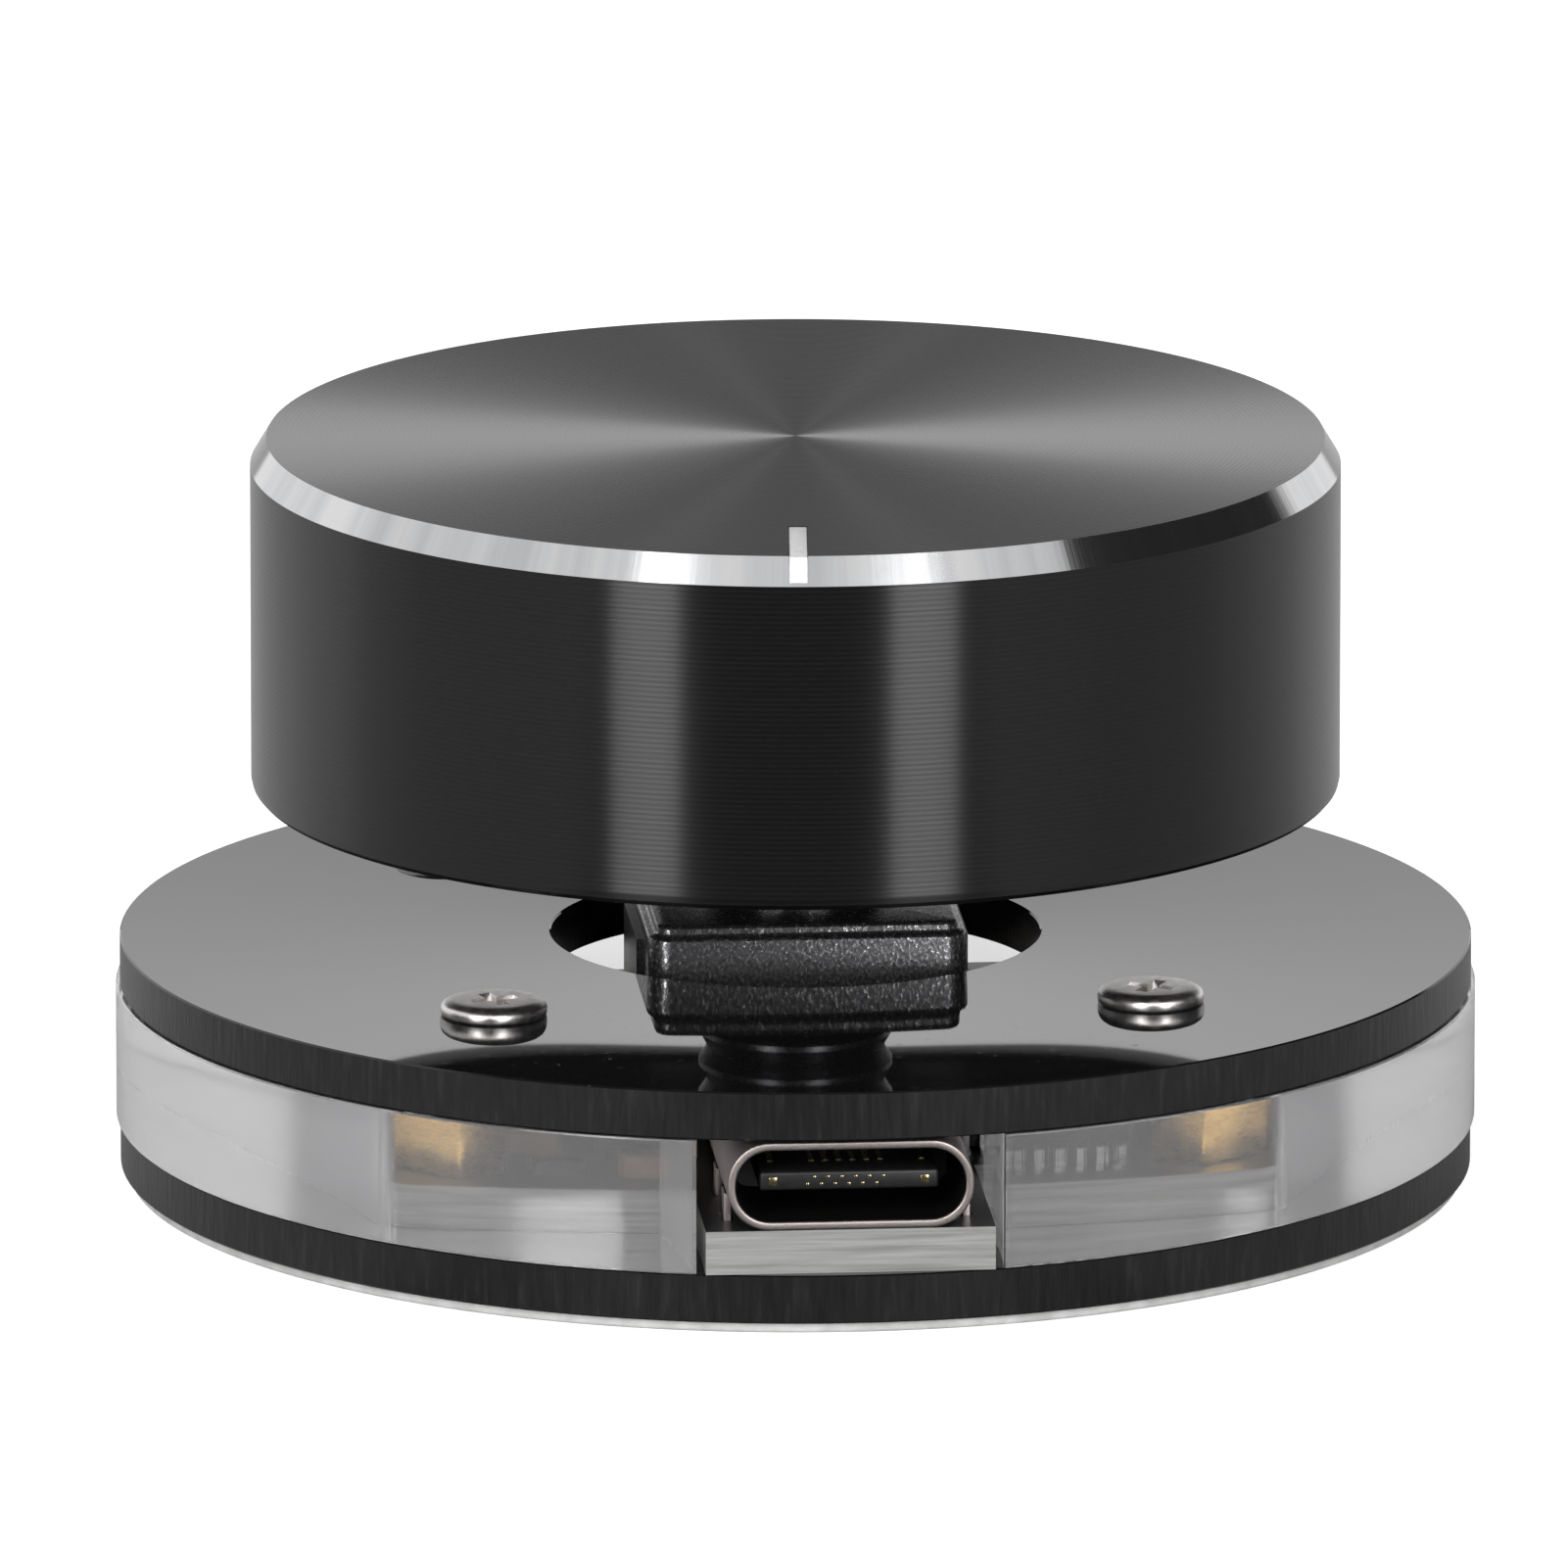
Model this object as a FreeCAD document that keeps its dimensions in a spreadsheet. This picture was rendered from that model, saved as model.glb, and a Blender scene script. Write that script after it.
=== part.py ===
"""Push and turn volume knob on a round acrylic base with a USB-C inlet.

Millimetres. The origin is the centre of the base's underside, +Z is up and
-Y is the side with the inlet.
"""
import FreeCAD, Part
import math
import os
import re

import Sketcher

# Lengths in millimetres
LENGTHS = {
    # Foot pad and the three acrylic discs
    "ring_reach": 9.5,
    "plate_inset": 0.15,
    "pad_inset": 0.25,
    "pad_thick": 0.4,
    "base_plate_thick": 1.8,
    "ring_thick": 5.0,
    "top_plate_thick": 1.8,
    "plate_hole_radius": 9.0,
    "cavity_corner": 0.6,
    # Screws and standoffs on a square about the centre
    "screw_radius": 1.0,
    "screw_gap": 0.15,
    "thread_gap": 0.03,
    "pan_radius": 1.95,
    "pan_height": 0.55,
    "pan_round": 0.35,
    "top_screw_length": 3.0,
    "cone_radius": 1.9,
    "cone_height": 0.9,
    "cone_gap": 0.1,
    "base_screw_length": 5.0,
    "recess_width": 0.5,
    "recess_length": 2.2,
    "recess_depth": 0.4,
    "standoff_flats": 4.0,
    # Circuit board
    "screw_edge": 3.3,
    "board_margin": 1.4,
    "board_gap": 0.2,
    "board_thick": 1.6,
    "board_corner": 1.0,
    "tongue_width": 10.5,
    "tongue_gap": 0.35,
    "hole_gap": 0.1,
    # Inlet
    "port_setback": 0.6,
    "port_width": 8.94,
    "port_height": 3.26,
    "port_length": 7.35,
    "port_wall": 0.3,
    "port_tab": 1.0,
    "port_fit": 0.02,
    "blade_width": 6.5,
    "blade_thick": 0.7,
    "blade_setback": 0.8,
    "blade_root": 2.2,
    "contact_pitch": 0.5,
    "contact_width": 0.26,
    "contact_thick": 0.08,
    "contact_setback": 0.25,
    "contact_end_gap": 0.1,
    "contact_spread": 2.75,
    # Chip, lamps and small parts on the board
    "chip_pin_gap": 0.3,
    "chip_post_gap": 0.44,
    "chip_length": 5.0,
    "chip_width": 4.4,
    "chip_height": 1.0,
    "chip_lift": 0.1,
    "lead_pitch": 0.65,
    "lead_width": 0.26,
    "lead_thick": 0.16,
    "lead_reach": 1.0,
    "led_inset": 2.2,
    "led_length": 3.5,
    "led_width": 2.8,
    "led_height": 1.4,
    "led_corner": 0.3,
    "capacitor_length": 1.6,
    "capacitor_width": 0.8,
    "capacitor_height": 0.8,
    "resistor_length": 1.6,
    "resistor_width": 0.8,
    "resistor_height": 0.45,
    # Encoder body
    "housing_width": 11.7,
    "housing_depth": 12.0,
    "housing_corner": 0.9,
    "encoder_height": 6.75,
    "rim_drop": 0.4,
    "rim_inset": 0.3,
    "bushing_length": 5.0,
    "bushing_wall": 0.47,
    "thread_pitch": 0.75,
    "thread_depth": 0.3,
    "bracket_thick": 0.25,
    "bracket_width": 6.0,
    "bracket_hook": 0.35,
    "hook_drop": 1.1,
    "lug_width": 2.1,
    "switch_height": 1.4,
    "well_floor": 0.4,
    "well_gap": 0.15,
    "dome_radius": 2.7,
    "dome_height": 0.7,
    "dome_thick": 0.1,
    "wafer_thick": 1.3,
    "wafer_gap": 0.3,
    "pin_pitch": 2.5,
    "pin_width": 0.8,
    "pin_thick": 0.3,
    "pin_reach": 1.2,
    "pin_drop": 0.5,
    # Encoder works
    "wiper_lift": 0.05,
    "wiper_thick": 0.15,
    "wiper_width": 0.5,
    "wiper_arm": 1.6,
    "rotor_radius": 4.8,
    "rotor_thick": 1.35,
    "rotor_gap": 0.3,
    "notch_width": 0.5,
    "notch_drop": 0.25,
    "cavity_room": 0.8,
    "detent_thick": 0.25,
    "detent_width": 1.1,
    "detent_gap": 0.1,
    "clip_room": 1.0,
    "clip_gap": 0.05,
    "clip_thick": 0.4,
    "clip_radius": 3.5,
    "clip_pocket_gap": 0.3,
    "clip_slot": 4.6,
    "groove_depth": 0.4,
    # Shaft
    "shaft_radius": 3.0,
    "shaft_gap": 0.03,
    "shaft_length": 15.0,
    "shaft_chamfer": 0.4,
    "flat_depth": 1.5,
    "collar_length": 0.7,
    "stem_radius": 2.0,
    "stem_flat": 0.5,
    "stem_gap": 0.04,
    "stem_drop": 0.8,
    "nose_radius": 1.0,
    "nose_gap": 0.05,
    "press_travel": 0.5,
    # Knob
    "knob_radius": 20.0,
    "knob_height": 13.1,
    "tip_gap": 0.65,
    "knob_wall": 1.5,
    "knob_top_thick": 1.4,
    "bevel_width": 0.6,
    "bevel_drop": 1.0,
    "lip_round": 0.4,
    "insert_gap": 0.02,
    "flange_thick": 1.8,
    "hub_radius": 5.5,
    "hub_gap": 0.3,
    "bore_gap": 0.03,
    "rib_thick": 1.2,
    "rib_height": 4.5,
    "pointer_width": 0.66,
    "pointer_length": 4.8,
    "pointer_depth": 0.3,
    # Cuts run past the solid by this much
    "overrun": 0.5,
}

# Turns in degrees
ANGLES = {
    "pointer_turn": -4.4,
    "rib_turn": 45.0,
}

# How many of each
COUNTS = {
    "screw_count": 4,
    "led_count": 4,
    "lead_count": 8,
    "contact_count": 6,
    "output_pin_count": 3,
    "switch_pin_count": 2,
    "wiper_arm_count": 3,
    "detent_count": 20,
    "rib_count": 4,
}

# Shares of another size
SHARES = {
    "port_round_share": 0.48,
    "tab_front_share": 0.3,
    "tab_back_share": 0.8,
    "pointer_bevel_share": 0.85,
}

# Small parts on the board, as shares of the board's half width
CAPACITOR_SHARES = ((-0.36, -0.86), (-0.54, -0.66), (-0.2, -0.64), (0.66, 0.5), (-0.62, 0.42))
RESISTOR_SHARES = ((-0.36, -0.7), (-0.54, -0.84), (-0.22, -0.84), (0.44, 0.8), (-0.3, 0.72), (0.66, 0.36))

# Places worked out from the lengths, each along the axis its name says
PLACES = {
    "pin_out": "depth_half + pin_reach",
    "chip_ahead": "pin_out + chip_pin_gap + lead_reach + chip_width / 2",
    "chip_across": "screw_spread - post_corner - chip_post_gap - chip_length / 2",
    "board_half": "chip_ahead + chip_width / 2 + lead_reach + board_margin",
    "cavity_half": "board_half + board_gap",
    "ring_radius": "cavity_half + ring_reach",
    "plate_radius": "ring_radius - plate_inset",
    "screw_spread": "board_half - screw_edge",
    "post_corner": "standoff_flats / sqrt(3)",
    "led_spread": "board_half - led_inset",
    "base_plate_top": "pad_thick + base_plate_thick",
    "ring_top": "base_plate_top + ring_thick",
    "plate_top": "ring_top + top_plate_thick",
    "board_top": "base_plate_top + board_thick",
    "tongue_half": "tongue_width / 2",
    "slot_half": "tongue_half + tongue_gap",
    "port_front": "ring_radius - port_setback",
    "port_half": "port_width / 2",
    "port_middle": "board_top + port_height / 2",
    "port_round": "port_height * port_round_share",
    "blade_front": "port_front - blade_setback",
    "port_back": "port_front - port_length",
    "contact_front": "blade_front - contact_setback",
    "contact_back": "port_back + blade_root + contact_end_gap",
    "tab_front": "port_front - port_length * tab_front_share",
    "tab_back": "port_front - port_length * tab_back_share",
    "screw_hole_radius": "screw_radius + screw_gap",
    "standoff_bore_radius": "screw_radius + thread_gap",
    "width_half": "housing_width / 2",
    "depth_half": "housing_depth / 2",
    "switch_bottom": "board_top + bracket_thick",
    "wafer_bottom": "switch_bottom + switch_height",
    "housing_bottom": "wafer_bottom + wafer_thick",
    "housing_top": "board_top + encoder_height",
    "bushing_top": "housing_top + bushing_length",
    "bushing_radius": "shaft_radius + shaft_gap + bushing_wall",
    "well_radius": "dome_radius + well_gap",
    "dome_bottom": "switch_bottom + well_floor",
    "wiper_bottom": "housing_bottom + wiper_lift",
    "rotor_bottom": "wiper_bottom + wiper_thick",
    "rotor_top": "rotor_bottom + rotor_thick",
    "works_radius": "rotor_radius + rotor_gap",
    "works_top": "rotor_top + cavity_room",
    "clip_ceiling": "works_top + clip_room",
    "clip_top": "clip_ceiling - clip_gap",
    "clip_bottom": "clip_top - clip_thick",
    "collar_bottom": "clip_bottom - collar_length",
    "stem_bottom": "housing_bottom - stem_drop",
    "nose_bottom": "dome_bottom + dome_height + nose_gap",
    "shaft_top": "housing_top + shaft_length",
    "hub_bottom": "bushing_top + press_travel + hub_gap",
    "knob_top": "shaft_top + tip_gap + knob_top_thick",
    "knob_bottom": "knob_top - knob_height",
    "insert_top": "knob_top - knob_top_thick",
    "flange_bottom": "insert_top - flange_thick",
    "flange_radius": "knob_radius - knob_wall - insert_gap",
    "pin_top": "housing_bottom - pin_drop",
    "bracket_out": "width_half + bracket_thick",
    "hook_top": "housing_top - hook_drop",
    "bevel_reach": "knob_radius - bevel_width",
}

doc = FreeCAD.newDocument("volume_knob")
sheet = doc.addObject("Spreadsheet::Sheet", "Sizes")
nodes = []


def fill_sheet():
    """One row for each size: its name, its number and the name again as alias."""
    row = 0
    for table in (LENGTHS, ANGLES, COUNTS, SHARES):
        for name, number in table.items():
            row += 1
            sheet.set(f"A{row}", name)
            sheet.set(f"B{row}", str(number))
            sheet.setAlias(f"B{row}", name)
    doc.recompute()


def formula(text):
    """The text with places written out and sizes led to their cells."""
    def lead(found):
        word = found.group(0)
        if word in PLACES:
            return "(" + formula(PLACES[word]) + ")"
        if sheet.getCellFromAlias(word):
            return "Sizes." + word
        return word
    return re.sub(r"[a-z][a-z_]*", lead, text)


def number(text):
    """What the text comes to now."""
    return float(sheet.evalExpression(formula(text)))


def bind(thing, path, text):
    """Tie one size of a feature to the sheet."""
    thing.setExpression(path, formula(text))


def new_body(label):
    """A body that becomes one node of the part."""
    body = doc.addObject("PartDesign::Body", label)
    body.Label = label
    nodes.append(body)
    return body


def origin_part(body, role):
    """A plane or axis of the body's own origin."""
    return next(part for part in body.Origin.OriginFeatures if part.Role == role)


def new_sketch(body, name, plane="XY_Plane", move=("0", "0", "0")):
    """A sketch on one of the body's planes, moved along the sketch's own axes."""
    sketch = body.newObject("Sketcher::SketchObject", f"{body.Label}_{name}")
    sketch.AttachmentSupport = [(origin_part(body, plane), "")]
    sketch.MapMode = "FlatFace"
    for axis, text in zip("xyz", move):
        if text != "0":
            bind(sketch, f"AttachmentOffset.Base.{axis}", text)
    return sketch


def pin_point(sketch, line, end, across, up):
    """Hold one end of a line, or the centre of a curve, at its place."""
    for kind, text in (("DistanceX", across), ("DistanceY", up)):
        if text is None:
            continue
        held = sketch.addConstraint(Sketcher.Constraint(kind, -1, 1, line, end, number(text)))
        bind(sketch, f"Constraints[{held}]", text)


def draw_circle(sketch, radius, across="0", up="0"):
    """A circle held by its centre and radius."""
    centre = FreeCAD.Vector(number(across), number(up), 0)
    normal = FreeCAD.Vector(0, 0, 1)
    ring = sketch.addGeometry(Part.Circle(centre, normal, number(radius)))
    held = sketch.addConstraint(Sketcher.Constraint("Radius", ring, number(radius)))
    bind(sketch, f"Constraints[{held}]", radius)
    pin_point(sketch, ring, 3, across, up)


def along(corner, here, other):
    """Texts of the point one rounding away from a corner towards its neighbour."""
    across, up, rounding = corner
    if abs(other.x - here.x) > abs(other.y - here.y):
        sign = "+" if other.x > here.x else "-"
        return f"{across} {sign} ({rounding})", up
    sign = "+" if other.y > here.y else "-"
    return across, f"{up} {sign} ({rounding})"


def draw_outline(sketch, corners):
    """A closed outline through its corners, each (across, up) or, where two
    square sides meet in a quarter round, (across, up, rounding)."""
    places = [FreeCAD.Vector(number(corner[0]), number(corner[1]), 0) for corner in corners]
    starts, ends, rounds = [], [], []
    for index, corner in enumerate(corners):
        if len(corner) == 2:
            starts.append(corner)
            ends.append(corner)
            rounds.append(None)
            continue
        before = along(corner, places[index], places[index - 1])
        after = along(corner, places[index], places[(index + 1) % len(corners)])
        middle = (before[0], after[1]) if after[0] == corner[0] else (after[0], before[1])
        ends.append(before)
        starts.append(after)
        rounds.append(middle)
    lines = []
    for index in range(len(corners)):
        start = starts[index]
        end = ends[(index + 1) % len(corners)]
        first = FreeCAD.Vector(number(start[0]), number(start[1]), 0)
        last = FreeCAD.Vector(number(end[0]), number(end[1]), 0)
        line = sketch.addGeometry(Part.LineSegment(first, last))
        pin_point(sketch, line, 1, *start)
        lines.append(line)
    for index, middle in enumerate(rounds):
        coming, going = lines[index - 1], lines[index]
        if middle is None:
            sketch.addConstraint(Sketcher.Constraint("Coincident", coming, 2, going, 1))
            continue
        pin_point(sketch, coming, 2, *ends[index])
        draw_round(sketch, coming, going, middle)


def draw_round(sketch, coming, going, middle):
    """A quarter round from the end of one line to the start of the next."""
    first = sketch.Geometry[coming].EndPoint
    last = sketch.Geometry[going].StartPoint
    centre = FreeCAD.Vector(number(middle[0]), number(middle[1]), 0)
    left_turn = (first - centre).cross(last - centre).z > 0
    begin, finish = (first, last) if left_turn else (last, first)
    angles = [math.atan2(point.y - centre.y, point.x - centre.x) for point in (begin, finish)]
    if angles[1] < angles[0]:
        angles[1] += 2 * math.pi
    circle = Part.Circle(centre, FreeCAD.Vector(0, 0, 1), (first - centre).Length)
    arc = sketch.addGeometry(Part.ArcOfCircle(circle, *angles))
    coming_end, going_end = (1, 2) if left_turn else (2, 1)
    sketch.addConstraint(Sketcher.Constraint("Coincident", coming, 2, arc, coming_end))
    sketch.addConstraint(Sketcher.Constraint("Coincident", going, 1, arc, going_end))
    pin_point(sketch, arc, 3, middle[0], None)


def rectangle(left, bottom, right, top, rounding=None):
    """Corners of a rectangle, anticlockwise, square or rounded."""
    corners = [(left, bottom), (right, bottom), (right, top), (left, top)]
    if rounding:
        corners = [corner + (rounding,) for corner in corners]
    return corners


def centred(half_width, half_depth, rounding=None):
    """Corners of a rectangle about the sketch's own origin."""
    return rectangle(f"-({half_width})", f"-({half_depth})", half_width, half_depth, rounding)


def pad(body, sketch, height, both_ways=False):
    """Material from the sketch, along its normal or evenly to both sides."""
    feature = body.newObject("PartDesign::Pad", f"{sketch.Name}_pad")
    feature.Profile = sketch
    bind(feature, "Length", height)
    if both_ways:
        feature.SideType = "Symmetric"
    doc.recompute()
    return feature


def pocket(body, sketch, depth, both_ways=False):
    """A cut from the sketch against its normal, or evenly to both sides."""
    feature = body.newObject("PartDesign::Pocket", f"{sketch.Name}_cut")
    feature.Profile = sketch
    bind(feature, "Length", depth)
    if both_ways:
        feature.SideType = "Symmetric"
    doc.recompute()
    return feature


def revolve(body, corners, name="turned", move=("0", "0", "0")):
    """A turned solid: an outline of (radius, height) about the upright axis."""
    sketch = new_sketch(body, name, "XZ_Plane", move)
    draw_outline(sketch, corners)
    feature = body.newObject("PartDesign::Revolution", f"{sketch.Name}_solid")
    feature.Profile = sketch
    feature.ReferenceAxis = (sketch, ["V_Axis"])
    doc.recompute()
    return feature


def groove(body, corners, name):
    """A turned cut about the upright axis."""
    sketch = new_sketch(body, name, "XZ_Plane")
    draw_outline(sketch, corners)
    feature = body.newObject("PartDesign::Groove", f"{sketch.Name}_cut")
    feature.Profile = sketch
    feature.ReferenceAxis = (sketch, ["V_Axis"])
    doc.recompute()
    return feature


def around(body, features, count):
    """Copies of the features around the upright axis."""
    pattern = body.newObject("PartDesign::PolarPattern", f"{features[0].Name}_around")
    pattern.Originals = features
    pattern.Axis = (origin_part(body, "Z_Axis"), [""])
    bind(pattern, "Occurrences", count)
    body.Tip = pattern
    doc.recompute()
    return pattern


def in_line(body, features, length, count):
    """Copies of the features in a row along X, over a length."""
    pattern = body.newObject("PartDesign::LinearPattern", f"{features[0].Name}_row")
    pattern.Originals = features
    pattern.Direction = (origin_part(body, "X_Axis"), [""])
    bind(pattern, "Length", length)
    bind(pattern, "Occurrences", count)
    body.Tip = pattern
    doc.recompute()
    return pattern


def turn_with_knob(body):
    """Pieces keyed to the knob stand turned with its pointer at rest."""
    bind(body, "Placement.Rotation.Angle", "pointer_turn")


def disc(label, radius, bottom, height):
    """A plain disc as the start of a plate."""
    body = new_body(label)
    sketch = new_sketch(body, "disc", move=("0", "0", bottom))
    draw_circle(sketch, radius)
    pad(body, sketch, height)
    return body


def four_corner_holes(body, radius, top, depth):
    """One hole on the screw square, copied to its four corners."""
    sketch = new_sketch(body, "corner_hole", move=("0", "0", f"{top} + overrun"))
    draw_circle(sketch, radius, "screw_spread", "screw_spread")
    around(body, [pocket(body, sketch, f"{depth} + 2 * overrun")], "screw_count")


def make_foot_pad():
    """Thin soft disc under the base."""
    disc("foot_pad", "plate_radius - pad_inset", "0", "pad_thick")


def make_base_plate():
    """Lower acrylic disc with countersunk holes from below."""
    body = disc("base_plate", "plate_radius", "pad_thick", "base_plate_thick")
    four_corner_holes(body, "screw_hole_radius", "base_plate_top", "base_plate_thick")
    sketch = new_sketch(body, "sink", "XZ_Plane", ("screw_spread", "pad_thick", "screw_spread"))
    draw_outline(sketch, [
        ("0", "-overrun"),
        ("cone_radius + cone_gap + overrun", "-overrun"),
        ("screw_hole_radius", "cone_radius + cone_gap - screw_hole_radius"),
        ("0", "cone_radius + cone_gap - screw_hole_radius"),
    ])
    sink = body.newObject("PartDesign::Groove", "base_plate_sink_cut")
    sink.Profile = sketch
    sink.ReferenceAxis = (sketch, ["V_Axis"])
    doc.recompute()
    around(body, [sink], "screw_count")


def make_light_ring():
    """Clear acrylic ring that spreads the lamps' light, open to the inlet."""
    body = disc("light_ring", "ring_radius", "base_plate_top", "ring_thick")
    sketch = new_sketch(body, "cavity", move=("0", "0", "ring_top + overrun"))
    draw_outline(sketch, centred("cavity_half", "cavity_half", "cavity_corner"))
    pocket(body, sketch, "ring_thick + 2 * overrun")
    sketch = new_sketch(body, "slot", move=("0", "0", "ring_top + overrun"))
    draw_outline(sketch, rectangle("-slot_half", "-(ring_radius + overrun)", "slot_half", "0"))
    pocket(body, sketch, "ring_thick + 2 * overrun")


def make_top_plate():
    """Upper acrylic disc with the encoder's hole."""
    body = disc("top_plate", "plate_radius", "ring_top", "top_plate_thick")
    sketch = new_sketch(body, "middle_hole", move=("0", "0", "plate_top + overrun"))
    draw_circle(sketch, "plate_hole_radius")
    pocket(body, sketch, "top_plate_thick + 2 * overrun")
    four_corner_holes(body, "screw_hole_radius", "plate_top", "top_plate_thick")


def cross_recess(body, face, depth_text):
    """Two crossed slots in a screw's head; the face is where they start."""
    cuts = []
    half = ("recess_length / 2", "recess_width / 2")
    for name, (across, ahead) in (("recess_long", half), ("recess_wide", half[::-1])):
        sketch = new_sketch(body, name, move=("screw_spread", "-screw_spread", face))
        draw_outline(sketch, centred(across, ahead))
        cuts.append(pocket(body, sketch, depth_text))
    return cuts


def make_top_screws():
    """Pan head screws that hold the top plate to the standoffs."""
    body = new_body("top_screws")
    turned = revolve(body, [
        ("0", "-top_screw_length"),
        ("screw_radius", "-top_screw_length"),
        ("screw_radius", "0"),
        ("pan_radius", "0"),
        ("pan_radius", "pan_height", "pan_round"),
        ("0", "pan_height"),
    ], "screw", ("screw_spread", "plate_top", "screw_spread"))
    cuts = cross_recess(body, "plate_top + pan_height", "recess_depth")
    around(body, [turned] + cuts, "screw_count")


def make_base_screws():
    """Countersunk screws from below, flush with the base plate."""
    body = new_body("base_screws")
    turned = revolve(body, [
        ("0", "0"),
        ("cone_radius", "0"),
        ("screw_radius", "cone_height"),
        ("screw_radius", "base_screw_length"),
        ("0", "base_screw_length"),
    ], "screw", ("screw_spread", "pad_thick", "screw_spread"))
    cuts = cross_recess(body, "pad_thick + recess_depth", "recess_depth")
    around(body, [turned] + cuts, "screw_count")


def make_standoffs():
    """Hexagonal brass standoffs between the board and the top plate."""
    body = new_body("standoffs")
    sketch = new_sketch(body, "hexagon", move=("screw_spread", "screw_spread", "board_top"))
    flats_half = "standoff_flats / 2"
    draw_outline(sketch, [
        ("-post_corner", "0"),
        ("-post_corner / 2", f"-{flats_half}"),
        ("post_corner / 2", f"-{flats_half}"),
        ("post_corner", "0"),
        ("post_corner / 2", flats_half),
        ("-post_corner / 2", flats_half),
    ])
    draw_circle(sketch, "standoff_bore_radius")
    post = pad(body, sketch, "ring_thick - board_thick")
    around(body, [post], "screw_count")


def make_circuit_board():
    """Square board with a tongue that carries the inlet to the edge."""
    body = new_body("circuit_board")
    sketch = new_sketch(body, "outline", move=("0", "0", "base_plate_top"))
    draw_outline(sketch, [
        ("-tongue_half", "-port_front"),
        ("tongue_half", "-port_front"),
        ("tongue_half", "-board_half"),
        ("board_half", "-board_half", "board_corner"),
        ("board_half", "board_half", "board_corner"),
        ("-board_half", "board_half", "board_corner"),
        ("-board_half", "-board_half", "board_corner"),
        ("-tongue_half", "-board_half"),
    ])
    pad(body, sketch, "board_thick")
    four_corner_holes(body, "screw_hole_radius", "board_top", "board_thick")
    sketch = new_sketch(body, "pin_holes", move=("0", "0", "board_top + overrun"))
    for across, ahead in pin_places():
        draw_circle(sketch, "pin_width / 2 + hole_gap", across, f"{ahead} * (pin_out - pin_thick / 2)")
    for side in ("-1", "1"):
        draw_outline(sketch, rectangle(
            f"{side} * (width_half + bracket_thick / 2) - bracket_thick / 2 - hole_gap",
            "-(lug_width / 2 + hole_gap)",
            f"{side} * (width_half + bracket_thick / 2) + bracket_thick / 2 + hole_gap",
            "lug_width / 2 + hole_gap"))
        for row in ("tab_front", "tab_back"):
            draw_outline(sketch, rectangle(
                f"{side} * (port_half - port_wall / 2) - port_wall / 2 - hole_gap",
                f"-({row} + port_tab / 2 + hole_gap)",
                f"{side} * (port_half - port_wall / 2) + port_wall / 2 + hole_gap",
                f"-({row} - port_tab / 2 - hole_gap)"))
    pocket(body, sketch, "board_thick + 2 * overrun")


def pin_places():
    """Each encoder pin as its place across and the side it stands on."""
    outputs = int(number("output_pin_count"))
    switches = int(number("switch_pin_count"))
    places = [(f"pin_pitch * {index} - pin_pitch * {outputs - 1} / 2", "1") for index in range(outputs)]
    places += [(f"2 * pin_pitch * {index} - pin_pitch * {switches - 1}", "-1") for index in range(switches)]
    return places


def make_usb_shell():
    """Drawn steel mouth of the inlet with four tabs through the board."""
    body = new_body("usb_shell")
    sketch = new_sketch(body, "mouth", "XZ_Plane", ("0", "port_middle", "port_back"))
    draw_outline(sketch, centred("port_half", "port_height / 2", "port_round"))
    draw_outline(sketch, centred(
        "port_half - port_wall", "port_height / 2 - port_wall", "port_round - port_wall"))
    pad(body, sketch, "port_length")
    sketch = new_sketch(body, "tabs", move=("0", "0", "base_plate_top"))
    for side in ("-1", "1"):
        for row in ("tab_front", "tab_back"):
            draw_outline(sketch, rectangle(
                f"{side} * (port_half - port_wall / 2) - port_wall / 2",
                f"-({row} + port_tab / 2)",
                f"{side} * (port_half - port_wall / 2) + port_wall / 2",
                f"-({row} - port_tab / 2)"))
    pad(body, sketch, "port_middle - base_plate_top")


def make_usb_tongue():
    """Moulded blade in the mouth, with the block that closes its back."""
    body = new_body("usb_tongue")
    sketch = new_sketch(body, "block", "XZ_Plane", ("0", "port_middle", "port_back"))
    inside = "port_wall + port_fit"
    draw_outline(sketch, centred(
        f"port_half - ({inside})", f"port_height / 2 - ({inside})", f"port_round - ({inside})"))
    pad(body, sketch, "blade_root")
    sketch = new_sketch(body, "blade", "XZ_Plane", ("0", "port_middle", "port_back"))
    draw_outline(sketch, centred("blade_width / 2", "blade_thick / 2"))
    pad(body, sketch, "blade_front - port_back")


def make_usb_contacts():
    """Gilt strips on both faces of the blade."""
    body = new_body("usb_contacts")
    count = int(number("contact_count"))
    places = [f"contact_pitch * {index} - contact_pitch * {count - 1} / 2" for index in range(count)]
    places += ["-contact_spread", "contact_spread"]
    faces = (("upper", "blade_thick / 2"), ("lower", "-(blade_thick / 2 + contact_thick)"))
    for name, face in faces:
        sketch = new_sketch(body, name, move=("0", "0", f"port_middle + {face}"))
        for place in places:
            draw_outline(sketch, rectangle(
                f"{place} - contact_width / 2", "-contact_front",
                f"{place} + contact_width / 2", "-contact_back"))
        pad(body, sketch, "contact_thick")


def stand_on_board(body):
    """Chip and leads are drawn about their own middle and set on the board."""
    bind(body, "Placement.Base.x", "chip_across")
    bind(body, "Placement.Base.y", "-chip_ahead")
    bind(body, "Placement.Base.z", "board_top")


def make_controller_chip():
    """Controller in a moulded case with leads on two sides."""
    body = new_body("controller_chip")
    sketch = new_sketch(body, "case", move=("0", "0", "chip_lift"))
    draw_outline(sketch, centred("chip_length / 2", "chip_width / 2"))
    pad(body, sketch, "chip_height")
    stand_on_board(body)


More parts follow.
